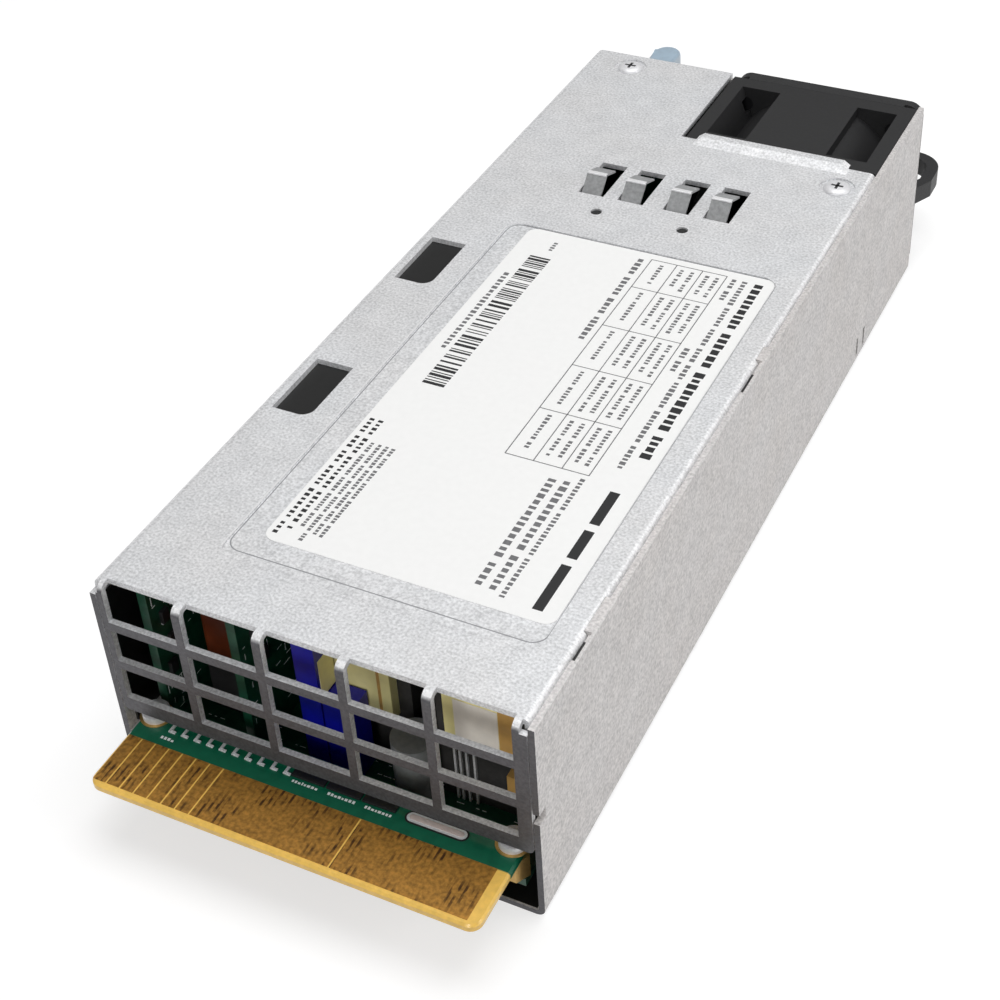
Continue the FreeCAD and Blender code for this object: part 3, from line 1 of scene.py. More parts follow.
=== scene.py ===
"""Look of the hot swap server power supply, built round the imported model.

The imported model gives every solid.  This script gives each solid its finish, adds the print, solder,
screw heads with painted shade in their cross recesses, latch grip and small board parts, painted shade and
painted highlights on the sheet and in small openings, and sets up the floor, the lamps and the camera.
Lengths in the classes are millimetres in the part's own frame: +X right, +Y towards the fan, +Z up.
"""
import logging
import math
import random
from collections.abc import Sequence
from dataclasses import dataclass
from enum import Enum

import bmesh
import bpy
from mathutils import Matrix, Vector


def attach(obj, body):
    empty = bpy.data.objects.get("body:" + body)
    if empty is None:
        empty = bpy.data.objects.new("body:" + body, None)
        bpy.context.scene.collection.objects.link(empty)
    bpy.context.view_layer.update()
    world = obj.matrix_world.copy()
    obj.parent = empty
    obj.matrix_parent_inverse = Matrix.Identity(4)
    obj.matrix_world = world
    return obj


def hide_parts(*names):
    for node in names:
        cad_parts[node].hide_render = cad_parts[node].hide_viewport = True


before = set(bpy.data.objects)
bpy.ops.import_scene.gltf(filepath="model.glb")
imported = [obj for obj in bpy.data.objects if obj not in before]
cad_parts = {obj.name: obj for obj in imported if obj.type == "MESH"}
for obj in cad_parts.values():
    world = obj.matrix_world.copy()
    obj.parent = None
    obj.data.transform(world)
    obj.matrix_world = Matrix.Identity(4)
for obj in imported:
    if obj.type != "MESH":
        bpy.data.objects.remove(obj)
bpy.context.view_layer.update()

MM = 0.001
HALF_WIDTH = 36.75
FRONT = -92.5
ROOF = 40.0
SHEET = 1.0
CARD_TOP = 12.0
BOARD_TOP = 6.0
TINY = 1e-6

log = logging.getLogger("server_power_supply")

Point = tuple[float, float, float]
Colour = tuple[float, float, float]
Pair = tuple[float, float]
Box = tuple[float, float, float, float, float, float]
Outline = Sequence[Pair]
NodeTree = bpy.types.NodeTree
Node = bpy.types.Node
Socket = bpy.types.NodeSocket


def across(x: float) -> float:
    """Turn a distance from the left wall into the frame's X."""
    return x - HALF_WIDTH


def along(y: float) -> float:
    """Turn a distance from the grille face into the frame's Y."""
    return y + FRONT


def srgb(*values: int) -> Colour:
    """Turn red, green and blue display values from 0 to 255 into a linear colour.

    Args:
        values: the three display values.

    Returns:
        The colour in linear light.
    """
    shares = [value / 255.0 for value in values]
    return tuple(s / 12.92 if s <= 0.04045 else ((s + 0.055) / 1.055) ** 2.4 for s in shares)


def put(name: str, data: bpy.types.ID) -> bpy.types.Object:
    """Add an object with this data to the scene."""
    made = bpy.data.objects.new(name, data)
    bpy.context.scene.collection.objects.link(made)
    return made


class Body(Enum):
    """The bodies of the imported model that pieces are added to."""

    CASE = "case"
    LATCH = "latch"


# ---- Shader node helpers and shared effects ----
class Tree:
    """A node tree with short calls to add and join nodes."""

    def __init__(self, tree: NodeTree) -> None:
        self.tree = tree

    def add(self, kind: str, **settings: object) -> Node:
        """Add a node and set its properties.

        Args:
            kind: the node's type name.
            settings: properties of the node by name.

        Returns:
            The new node.
        """
        node = self.tree.nodes.new(kind)
        for name, value in settings.items():
            setattr(node, name, value)
        return node

    def join(self, source: Socket, target: Socket) -> None:
        """Link an output socket to an input socket."""
        self.tree.links.new(source, target)

    def feed(self, socket: Socket, value: object) -> None:
        """Link a socket to a socket, or set its constant."""
        if isinstance(value, bpy.types.NodeSocket):
            self.join(value, socket)
        elif isinstance(value, tuple) and len(value) == 3 and socket.type == "RGBA":
            socket.default_value = (*value, 1.0)
        else:
            socket.default_value = value

    def group(self, tree: NodeTree, **values: object) -> Node:
        """Use a shared node group.

        Args:
            tree: the group.
            values: its inputs by name.

        Returns:
            The group's node.
        """
        node = self.add("ShaderNodeGroup", node_tree=tree)
        for name, value in values.items():
            self.feed(node.inputs[name], value)
        return node

    def place(self) -> Socket:
        """Place in the part's own coordinates, in metres."""
        return self.add("ShaderNodeTexCoord").outputs["Object"]

    def split(self, kind: str = "Object") -> Node:
        """The place, or the Normal, split into its X, Y and Z."""
        parts = self.add("ShaderNodeSeparateXYZ")
        self.join(self.add("ShaderNodeTexCoord").outputs[kind], parts.inputs[0])
        return parts

    def maths(self, operation: str, first: object, second: object = 0.0, clamp: bool = False) -> Socket:
        """Add a Math node.

        Args:
            operation: the Math node's operation.
            first: first number or socket.
            second: second number or socket.
            clamp: keep the result between 0 and 1.

        Returns:
            The result's socket.
        """
        node = self.add("ShaderNodeMath", operation=operation, use_clamp=clamp)
        self.feed(node.inputs[0], first)
        self.feed(node.inputs[1], second)
        return node.outputs[0]

    def blend(self, share: object, first: object, second: object, mode: str = "MIX") -> Socket:
        """Mix two colours.

        Args:
            share: how much of the second colour.
            first: first colour or socket.
            second: second colour or socket.
            mode: the Mix node's blend type.

        Returns:
            The mixed colour's socket.
        """
        node = self.add("ShaderNodeMix", data_type="RGBA", blend_type=mode)
        self.feed(node.inputs["Factor"], share)
        self.feed(node.inputs[6], first)
        self.feed(node.inputs[7], second)
        return node.outputs[2]

    def noise(self, scale: object, detail: float = 3.0, stretch: Point = (1.0, 1.0, 1.0)) -> Socket:
        """Noise in the part's own coordinates.

        Args:
            scale: features per metre.
            detail: octaves of noise.
            stretch: scale along each axis.

        Returns:
            The noise value's socket.
        """
        mapping = self.add("ShaderNodeMapping")
        mapping.inputs["Scale"].default_value = stretch
        self.join(self.place(), mapping.inputs["Vector"])
        node = self.add("ShaderNodeTexNoise")
        self.join(mapping.outputs[0], node.inputs["Vector"])
        self.feed(node.inputs["Scale"], scale)
        node.inputs["Detail"].default_value = detail
        return node.outputs["Fac"]

    def spread(self, value: Socket, low: float, high: float, to_low: float = 0.0,
               to_high: float = 1.0) -> Socket:
        """Map a range of values to another range, clamped.

        Args:
            value: the socket to map.
            low: value that maps to to_low.
            high: value that maps to to_high.
            to_low: result at low.
            to_high: result at high.

        Returns:
            The mapped value's socket.
        """
        node = self.add("ShaderNodeMapRange")
        self.join(value, node.inputs["Value"])
        for name, number in (("From Min", low), ("From Max", high), ("To Min", to_low), ("To Max", to_high)):
            node.inputs[name].default_value = number
        return node.outputs["Result"]


class Effects:
    """Node groups that several finishes share, each built once."""

    def __init__(self) -> None:
        self.speckle = self.build_speckle()
        self.grain = self.build_grain()
        self.zone = self.build_zone()

    @staticmethod
    def open_group(name: str, inputs: dict[str, object], outputs: Sequence[str]) -> tuple[Tree, Node, Node]:
        """Start a node group.

        Args:
            name: the group's name.
            inputs: default of each input by name; one named Colour is a colour, the others numbers.
            outputs: names of the outputs, of the same kinds.

        Returns:
            The group's tree, its entry node and its exit node.
        """
        tree = bpy.data.node_groups.new(name, "ShaderNodeTree")
        for way, labels in (("INPUT", inputs), ("OUTPUT", outputs)):
            for label in labels:
                kind = "NodeSocketColor" if label == "Colour" else "NodeSocketFloat"
                made = tree.interface.new_socket(name=label, in_out=way, socket_type=kind)
                if way == "INPUT":
                    made.default_value = inputs[label]
        nodes = Tree(tree)
        return nodes, nodes.add("NodeGroupInput"), nodes.add("NodeGroupOutput")

    @staticmethod
    def build_speckle() -> NodeTree:
        """Cloudy and fine colour change, as on plated sheet or moulded plastic."""
        inputs = {"Colour": (0.5, 0.5, 0.5, 1.0), "Scale": 1500.0, "Contrast": 0.1}
        nodes, entry, leave = Effects.open_group("speckle", inputs, ("Colour", "Height"))
        cloud_scale, cloud_gain = 0.11, 0.22
        noise_low, noise_high = 0.3, 0.7
        fine = nodes.noise(entry.outputs["Scale"], 2.0)
        broad = nodes.noise(nodes.maths("MULTIPLY", entry.outputs["Scale"], cloud_scale), 2.0)
        fine_part = nodes.spread(fine, noise_low, noise_high, -1.0, 1.0)
        broad_part = nodes.spread(broad, noise_low, noise_high, -cloud_gain, cloud_gain)
        both = nodes.maths("ADD", fine_part, broad_part)
        gain = nodes.maths("ADD", nodes.maths("MULTIPLY", both, entry.outputs["Contrast"]), 1.0)
        grey = nodes.add("ShaderNodeCombineColor")
        for index in range(3):
            nodes.join(gain, grey.inputs[index])
        coloured = nodes.blend(1.0, entry.outputs["Colour"], grey.outputs[0], "MULTIPLY")
        nodes.join(coloured, leave.inputs["Colour"])
        nodes.join(fine, leave.inputs["Height"])
        return nodes.tree

    @staticmethod
    def build_grain() -> NodeTree:
        """Rolled or brushed streaks along one axis."""
        inputs = {"Scale": 900.0, "Low": 0.3, "High": 0.5}
        nodes, entry, leave = Effects.open_group("rolled_grain", inputs, ("Value",))
        streak = nodes.noise(entry.outputs["Scale"], stretch=(1.0, 0.06, 1.0))
        span = nodes.maths("SUBTRACT", entry.outputs["High"], entry.outputs["Low"])
        mapped = nodes.maths("ADD", nodes.maths("MULTIPLY", streak, span), entry.outputs["Low"])
        nodes.join(mapped, leave.inputs["Value"])
        return nodes.tree

    @staticmethod
    def build_zone() -> NodeTree:
        """Mask of the stretch in front of a level along Y, in metres, with a soft edge."""
        inputs = {"Level": 0.0, "Softness": 0.0002}
        nodes, entry, leave = Effects.open_group("front_zone", inputs, ("Mask",))
        gap = nodes.maths("SUBTRACT", entry.outputs["Level"], nodes.split().outputs["Y"])
        nodes.join(nodes.maths("DIVIDE", gap, entry.outputs["Softness"], clamp=True), leave.inputs["Mask"])
        return nodes.tree


EFFECTS = Effects()


@dataclass(frozen=True)
class Finish:
    """A finish with its colour, gloss and the scale of its surface detail."""

    name: str
    colour: Colour
    roughness: float = 0.5
    metallic: float = 0.0
    scale: float = 1500.0
    contrast: float = 0.08
    bump: float = 0.05
    coat: float = 0.0
    streaks: Pair | None = None
    transmission: float = 0.0

    def material(self) -> bpy.types.Material:
        """Build the material, or return the one already built."""
        name = f"finish_{self.name}"
        made = bpy.data.materials.get(name)
        if made is not None:
            return made
        made = bpy.data.materials.new(name)
        made.use_nodes = True
        made.diffuse_color = (*self.colour, 1.0)
        nodes = Tree(made.node_tree)
        shader = made.node_tree.nodes["Principled BSDF"]
        speckle = nodes.group(
            EFFECTS.speckle, Colour=self.tint(nodes), Scale=self.scale, Contrast=self.contrast
        )
        nodes.join(speckle.outputs["Colour"], shader.inputs["Base Color"])
        for label, value in (("Metallic", self.metallic), ("Coat Weight", self.coat),
                             ("Transmission Weight", self.transmission)):
            shader.inputs[label].default_value = value
        self.set_roughness(nodes, shader)
        bump = nodes.add("ShaderNodeBump")
        bump.inputs["Strength"].default_value = self.bump
        bump.inputs["Distance"].default_value = 0.1 * MM
        nodes.join(speckle.outputs["Height"], bump.inputs["Height"])
        nodes.join(bump.outputs[0], shader.inputs["Normal"])
        return made

    def tint(self, nodes: Tree) -> object:
        """The colour before the speckle: a constant here, a pattern in some finishes."""
        return self.colour

    def set_roughness(self, nodes: Tree, shader: Node) -> None:
        """Set an even roughness, or streaks where the finish has them."""
        if self.streaks is None:
            shader.inputs["Roughness"].default_value = self.roughness
            return
        grain = nodes.group(EFFECTS.grain, Low=self.streaks[0], High=self.streaks[1])
        nodes.join(grain.outputs["Value"], shader.inputs["Roughness"])


@dataclass(frozen=True)
class SheetSteel(Finish):
    """Galvanised sheet: light and cloudy, with a painted highlight on the bends and painted shade on the
    grille face.
    """

    metallic: float = 0.25
    contrast: float = 0.22
    bump: float = 0.2
    # Painted shade: the grille face's darker colour, and where it applies.
    grille_shade_colour: Colour = srgb(88, 87, 91)
    grille_shade_depth: float = 1.2
    grille_shade_facing: Pair = (-0.75, -0.97)
    # Painted highlight: the bends' near-white colour, and where it applies.
    highlight_colour: Colour = (0.96, 0.96, 0.97)
    highlight_depth: float = 6.0
    highlight_facing: Pair = (0.16, 0.40)
    highlight_share: float = 0.9
    warmth: Colour = (0.985, 0.975, 0.965)

    def painted_highlight_mask(self, nodes: Tree, facing: Node) -> Socket:
        """Mask of the painted highlight on the bends, which face between upwards and a side.

        Args:
            nodes: the material's nodes.
            facing: the surface normal, split into its parts.

        Returns:
            The mask's socket.
        """
        masks = []
        for axis in ("X", "Y"):
            both = nodes.maths("MULTIPLY", facing.outputs[axis], facing.outputs["Z"])
            masks.append(nodes.spread(nodes.maths("ABSOLUTE", both), *self.highlight_facing, 0.0, self.highlight_share))
        zone = nodes.group(EFFECTS.zone, Level=(FRONT + self.highlight_depth) * MM)
        masks[1] = nodes.maths("MULTIPLY", masks[1], zone.outputs["Mask"])
        return nodes.maths("MAXIMUM", *masks)

    def tint(self, nodes: Tree) -> Socket:
        """Light sheet with a warmer cloud, a painted highlight at the bends and painted shade on the grille
        face.
        """
        cloud = nodes.spread(nodes.noise(60.0, 2.0), 0.35, 0.65)
        warm = tuple(part * gain for part, gain in zip(self.colour, self.warmth))
        sheet = nodes.blend(cloud, self.colour, warm)
        facing = nodes.split("Normal")
        # Painted highlight on the bends.
        sheet = nodes.blend(self.painted_highlight_mask(nodes, facing), sheet, self.highlight_colour)
        # Painted shade on the front of the grille.
        ahead = nodes.spread(facing.outputs["Y"], *self.grille_shade_facing)
        zone = nodes.group(EFFECTS.zone, Level=(FRONT + self.grille_shade_depth) * MM)
        mask = nodes.maths("MULTIPLY", ahead, zone.outputs["Mask"])
        return nodes.blend(mask, sheet, self.grille_shade_colour)


@dataclass(frozen=True)
class CardBoard(Finish):
    """Circuit board: green resist with faint tracks, bare golden laminate in front of a level."""

    laminate: Colour = srgb(246, 200, 96)
    level: float = FRONT - 3.1
    tracks: float = 0.25
    cells: float = 380.0

    def tint(self, nodes: Tree) -> Socket:
        """Green with tracks, and laminate in front of the level."""
        cells = nodes.add("ShaderNodeTexVoronoi", distance="CHEBYCHEV", feature="F1")
        cells.inputs["Scale"].default_value = self.cells
        nodes.join(nodes.place(), cells.inputs["Vector"])
        line = nodes.spread(cells.outputs["Distance"], 0.30, 0.36, 0.0, self.tracks)
        brighter = tuple(part * 1.9 + 0.01 for part in self.colour)
        board = nodes.blend(line, self.colour, brighter)
        zone = nodes.group(EFFECTS.zone, Level=self.level * MM)
        return nodes.blend(zone.outputs["Mask"], board, self.laminate)


@dataclass(frozen=True)
class WornGold(Finish):
    """Gold contact with brown mottling in rows of short dark marks."""

    mark_colour: Colour = srgb(58, 32, 8)
    mark_pitch: float = 0.95
    mark_scale: float = 900.0
    patch_scale: float = 170.0

    def tint(self, nodes: Tree) -> Socket:
        """Brownish gold with darker marks that run along the contact."""
        turns = nodes.maths("MULTIPLY", nodes.split().outputs["X"], 2.0 * math.pi / (self.mark_pitch * MM))
        rows = nodes.spread(nodes.maths("SINE", turns), -0.1, 0.5)
        broken = nodes.spread(nodes.noise(self.mark_scale, 2.0, (1.0, 0.55, 1.0)), 0.42, 0.56)
        patch = nodes.spread(nodes.noise(self.patch_scale, 1.0), 0.44, 0.60, 0.0, 0.9)
        marks = nodes.maths("MULTIPLY", nodes.maths("MULTIPLY", rows, broken), patch)
        return nodes.blend(marks, self.colour, self.mark_colour)


STEEL_SCREW = Finish("zinc_screw", srgb(236, 236, 238), 0.42, 0.3, 3000.0, 0.05, 0.04)
FILM_BLACK = Finish("black_film", srgb(22, 22, 22), 0.42, 0.0, 900.0, 0.1, 0.03)
INK_DARK = Finish("label_ink_dark", srgb(30, 30, 32), 0.6, 0.0, 2500.0, 0.1, 0.0)
INK_GREY = Finish("label_ink_grey", srgb(112, 112, 114), 0.6, 0.0, 2500.0, 0.12, 0.0)
BRASS = Finish("turned_brass", srgb(196, 160, 96), 0.3, 0.8, bump=0.04)
GRIP_BLUE = Finish("grip_blue", srgb(166, 186, 202), 0.3, 0.0, 900.0, 0.05, 0.03, coat=0.3)
TAPE_YELLOW = Finish("tape_yellow", srgb(246, 236, 168), 0.45, 0.0, 500.0, 0.05, coat=0.2)
# Near white: partly the tin's own colour and partly a painted highlight.
TIN_WITH_HIGHLIGHT = Finish("solder_tin_with_painted_highlight", srgb(246, 247, 248), 0.35, 0.25, 1800.0, 0.1, 0.15)
SILK_WHITE = Finish("silk_white", srgb(244, 248, 246), 0.6, 0.0, 2500.0, 0.1, 0.0)
CHIP_BLACK = Finish("chip_body", srgb(30, 30, 31), contrast=0.06)
STICKER = Finish("bare_sticker", srgb(248, 242, 232), 0.55, 0.0, 700.0, 0.03, 0.02)
SLOT_FLOOR = Finish("slot_floor", srgb(222, 206, 200), contrast=0.06, bump=0.03)
# Painted shade along the edge of the label's recess.
RECESS_EDGE_SHADE = Finish("recess_edge_painted_shade", srgb(150, 151, 154), 0.5, 0.2, 2000.0, bump=0.02)
# Painted highlight on the recess's left edge and on the tops of the grounding fingers.
PAINTED_HIGHLIGHT = Finish("painted_highlight", srgb(246, 246, 247), 0.35, 0.3, 2400.0, 0.05, 0.04)
TAPE_GOLD = Finish("tape_gold", srgb(206, 162, 92), 0.4, 0.1, 600.0, coat=0.3)
# Painted shade for the cross recesses of the cover screws.
SCREW_RECESS_SHADE = Finish("screw_recess_painted_shade", srgb(72, 72, 74), 0.5, 0.6, 2500.0, 0.1)

WEARERS: tuple[tuple[str, Finish], ...] = (
    ("top_cover", SheetSteel("galvanised_cover", srgb(222, 223, 225), scale=2200.0, streaks=(0.42, 0.56))),
    # Painted shade: the base's sheet, which makes the right side, is a little darker and warmer than the
    # cover's.
    ("base_chassis", SheetSteel("galvanised_base_painted_shade", srgb(214, 211, 210), scale=2000.0, streaks=(0.42, 0.58))),
    ("latch_bracket latch_lever",
     Finish("zinc_lever", srgb(176, 178, 180), 0.4, 0.7, 2000.0, bump=0.06, streaks=(0.32, 0.46))),
    ("grounding_springs",
     Finish("spring_steel", srgb(166, 167, 168), 0.45, 0.35, 1500.0, 0.16, streaks=(0.3, 0.45))),
    ("cover_screws edge_screws main_screws latch_pivot latch_spring fan_shaft fan_bearings", STEEL_SCREW),
    ("insulating_films", FILM_BLACK),
    ("rating_label", Finish("label_film", srgb(247, 247, 246), 0.55, 0.0, 800.0, 0.01, 0.01)),
    ("fan_frame", Finish("fan_plastic", srgb(36, 36, 37), 0.48, 0.0, 1600.0, 0.1, 0.1)),
    ("fan_rotor", Finish("rotor_plastic", srgb(42, 42, 43), 0.42, 0.0, 1600.0, 0.1, 0.06)),
    ("fan_screws", Finish("black_oxide_screw", srgb(44, 44, 46), 0.35, 0.6, 2500.0, 0.1)),
    ("fan_magnet", Finish("sintered_magnet", srgb(70, 70, 72), 0.6, 0.3, 2000.0, 0.12, 0.1)),
    ("fan_stator boost_choke_winding filter_choke_winding",
     Finish("enamelled_copper", srgb(170, 92, 48), 0.35, 0.6, 1200.0, 0.18, 0.3, coat=0.3)),
    ("pull_handle", Finish("handle_plastic", srgb(40, 40, 41), 0.5, 0.0, 2600.0, 0.22, 0.45)),
    ("ac_inlet_housing", Finish("inlet_plastic", srgb(38, 38, 39), 0.45, 0.0, 1800.0, bump=0.08)),
    ("inlet_blades", Finish("nickel_blade", srgb(205, 203, 196), 0.25, 0.85, 2000.0, 0.05, 0.03)),
    ("inlet_board main_board control_board driver_board",
     CardBoard("board_resist", srgb(10, 64, 44), 0.38, 0.0, 900.0, 0.1, 0.08, coat=0.1, level=-200.0)),
    ("output_board",
     CardBoard("card_resist", srgb(0, 96, 68), 0.35, 0.0, 900.0, 0.08, 0.06, coat=0.3, tracks=0.12)),
    ("signal_contacts power_contacts",
     WornGold("contact_gold", srgb(172, 124, 52), 0.42, 0.5, 1500.0, 0.34, 0.25)),
    ("edge_standoffs main_standoffs", BRASS),
    ("board_header", Finish("header_plastic", srgb(30, 30, 32))),
    ("status_light_pipe",
     Finish("light_pipe", srgb(206, 240, 214), 0.2, 0.0, 800.0, 0.03, 0.01, transmission=0.6)),
    ("latch_grip", GRIP_BLUE),
    ("snubber_capacitor", Finish("dipped_brown", srgb(98, 42, 18), 0.3, 0.0, 700.0, 0.12, 0.04, coat=0.3)),
    ("film_capacitors line_capacitor",
     Finish("dipped_blue", srgb(4, 6, 150), 0.4, 0.0, 700.0, 0.1, 0.04, coat=0.1)),
    ("transformer_cores boost_choke_core filter_choke_core",
     Finish("ferrite", srgb(58, 57, 56), 0.6, 0.2, 1500.0, 0.14, 0.12)),
    ("transformer_windings", TAPE_YELLOW),
    ("output_choke", Finish("powder_choke", srgb(122, 124, 124), 0.6, 0.1, 1100.0, 0.1, 0.15)),
    ("output_capacitors bulk_capacitors",
     Finish("can_sleeve", srgb(26, 26, 34), 0.32, 0.0, 700.0, 0.08, 0.03, coat=0.3)),
    ("rectifier_heatsink",
     Finish("extruded_aluminium", srgb(188, 190, 192), 0.38, 0.8, 1500.0, 0.06, streaks=(0.3, 0.45))),
    ("bridge_rectifier", Finish("rectifier_body", srgb(36, 36, 38), 0.55, bump=0.08)),
    ("line_fuse", Finish("fuse_ceramic", srgb(226, 222, 210), 0.4, 0.0, 900.0, 0.04, 0.03, coat=0.3)),
)
NODE_FINISHES: dict[str, Finish] = {node: finish for nodes, finish in WEARERS for node in nodes.split()}


# ---- Mesh making ----
def arc(centre: Pair, radius: float, start: float, sweep: float, steps: int) -> list[Pair]:
    """Points on an arc in X and Y.

    Args:
        centre: the arc's centre.
        radius: its radius.
        start: angle of the first point in degrees.
        sweep: angle it covers in degrees, anticlockwise.
        steps: divisions of the arc.

    Returns:
        The points, one more than the divisions.
    """
    angles = [math.radians(start + sweep * i / steps) for i in range(steps + 1)]
    return [(centre[0] + radius * math.cos(a), centre[1] + radius * math.sin(a)) for a in angles]


class Shaper:
    """Collects blocks, prisms and turned forms into one mesh."""

    def __init__(self) -> None:
        self.mesh = bmesh.new()

    def block(self, low: Point, high: Point, bevel: float = 0.0) -> None:
        """Add a block, with rounded edges if a bevel is given.

        Args:
            low: lowest corner.
            high: highest corner.
            bevel: width of the rounding.
        """
        middle = [(a + b) / 2 for a, b in zip(low, high)]
        size = [b - a for a, b in zip(low, high)]
        matrix = Matrix.Translation(middle) @ Matrix.Diagonal((*size, 1.0))
        made = bmesh.ops.create_cube(self.mesh, size=1.0, matrix=matrix)
        if bevel > 0:
            edges = list({edge for vert in made["verts"] for edge in vert.link_edges})
            bmesh.ops.bevel(self.mesh, geom=edges, offset=bevel, segments=2, profile=0.6, affect="EDGES")

    def loop(self, outline: Outline, level: float) -> list[bmesh.types.BMVert]:
        """Add the corners of an outline at a level."""
        return [self.mesh.verts.new((x, y, level)) for x, y in outline]

    def bridge(self, loops: Sequence[list[bmesh.types.BMVert]]) -> None:
        """Join each loop of corners to the next with faces; a loop of one corner is a point."""
        for lower, upper in zip(loops, loops[1:]):
            for i in range(max(len(lower), len(upper))):
                ends = ((lower, i), (lower, i + 1), (upper, i + 1), (upper, i))
                corners = list(dict.fromkeys(loop[k % len(loop)] for loop, k in ends))
                if len(corners) > 2:
                    self.mesh.faces.new(corners)

    def ring(self, outer: Outline, inner: Outline, low: float, high: float) -> None:
        """Add a flat closed band between two outlines.

        Args:
            outer: corners of the outer edge in X and Y, anticlockwise.
            inner: as many corners of the inner edge.
            low: level of the underside.
            high: level of the top.
        """
        sides = ((outer, low), (outer, high), (inner, high), (inner, low))
        loops = [self.loop(outline, level) for outline, level in sides]
        self.bridge(loops + loops[:1])

    def prism(self, outline: Outline, low: float, high: float) -> None:
        """Add an upright prism.

        Args:
            outline: corners in X and Y, anticlockwise.
            low: level of the underside.
            high: level of the top.
        """
        bottom, top = self.loop(outline, low), self.loop(outline, high)
        self.mesh.faces.new(list(reversed(bottom)))
        self.mesh.faces.new(top)
        self.bridge((bottom, top))

    def turned(self, profile: Outline, centre: Point, steps: int = 32) -> None:
        """Add a form turned about an upright axis, closed where the profile meets it.

        Args:
            profile: radius and height pairs from the foot to the top.
            centre: where the axis starts.
            steps: divisions round the axis.
        """
        loops = []
        for radius, height in profile:
            circle = arc(centre[:2], radius, 0.0, 360.0, steps)[:-1]
            loops.append(self.loop(circle if radius > TINY else circle[:1], centre[2] + height))
        self.bridge(loops)

    def piece(self, name: str, finish: Finish, slot: str, body: Body = Body.CASE,
              smooth: bool = False) -> bpy.types.Object:
        """Turn what was collected into a piece that rides on a body.

        Args:
            name: the piece's name.
            finish: its finish.
            slot: the record's material slot; not used.
            body: the body that it rides on.
            smooth: shade it smooth except at its sharp edges.

        Returns:
            The new object.
        """
        data = bpy.data.meshes.new(name)
        bmesh.ops.recalc_face_normals(self.mesh, faces=self.mesh.faces)
        bmesh.ops.scale(self.mesh, vec=(MM, MM, MM), verts=self.mesh.verts)
        self.mesh.to_mesh(data)
        self.mesh.free()
        made = put(name, data)
        data.materials.append(finish.material())
        if smooth:
            soften(data)
        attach(made, body.value)
        log.info("piece %s rides on %s", name, body.value)
        return made


def box_piece(name: str, finish: Finish, slot: str, boxes: Sequence[Box], bevel: float = 0.0) -> None:
    """Make one piece of blocks on the case.

    Args:
        name: the piece's name.
        finish: its finish.
        slot: the record's material slot.
        boxes: each block's span in X from the left wall, in Y from the grille, and in Z.
        bevel: width of the rounding.
    """
    shaper = Shaper()
    for x0, x1, y0, y1, z0, z1 in boxes:
        shaper.block((across(x0), along(y0), z0), (across(x1), along(y1), z1), bevel)
    shaper.piece(name, finish, slot)


def soften(data: bpy.types.Mesh, degrees: float = 35.0) -> None:
    """Shade a mesh smooth where its faces meet at less than an angle."""
    data.polygons.foreach_set("use_smooth", [True] * len(data.polygons))
    data.set_sharp_from_angle(angle=math.radians(degrees))


# ---- Sub-assemblies ----
@dataclass
class DressedSolids:
    """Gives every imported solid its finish."""

    crisp: float = 28.0

    def build(self) -> None:
        """Assign a finish to each node and soften its round faces."""
        for name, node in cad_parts.items():
            finish = NODE_FINISHES[name]
            node.data.materials.clear()
            node.data.materials.append(finish.material())
            soften(node.data, self.crisp)
            log.info("node %s wears %s", name, finish.name)


@dataclass(frozen=True)
class DashRow:
    """A row of dashes that runs from start to end, towards the grille, like a line of words.

    The gap is a share of a dash's height, and word is the fewest and most dashes in a word.
    """

    x: float
    start: float
    end: float
    height: float
    gap: float = 0.35
    word: tuple[int, int] = (3, 8)
    dark: bool = False


LABEL_ROWS = (
    DashRow(64.6, 111.4, 59.8, 1.9, 0.28, (6, 13), dark=True),
    DashRow(61.9, 111.4, 55.2, 1.1),
    DashRow(59.9, 111.4, 105.0, 1.1),
    DashRow(59.9, 88.7, 81.2, 1.1),
    DashRow(41.8, 111.3, 83.1, 1.3),
    DashRow(25.0, 110.4, 107.7, 0.9),
    DashRow(20.9, 98.0, 73.4, 1.1, 0.45, (30, 40)),
    DashRow(57.8, 50.3, 21.3, 0.9, 0.4, (9, 14)),
    DashRow(55.8, 48.8, 22.2, 1.4, 0.4, (9, 14)),
    DashRow(53.4, 48.5, 22.2, 1.4, 0.4, (9, 14)),
    DashRow(19.6, 51.0, 20.9, 0.95, 0.55, dark=True),
    DashRow(21.2, 51.0, 22.2, 0.95, 0.55, dark=True),
    DashRow(22.8, 45.4, 23.6, 0.75, 0.3),
    DashRow(24.2, 45.4, 20.6, 0.75, 0.3),
    DashRow(25.5, 45.4, 22.3, 0.75, 0.3),
    DashRow(26.7, 45.3, 22.2, 0.75, 0.3),
)


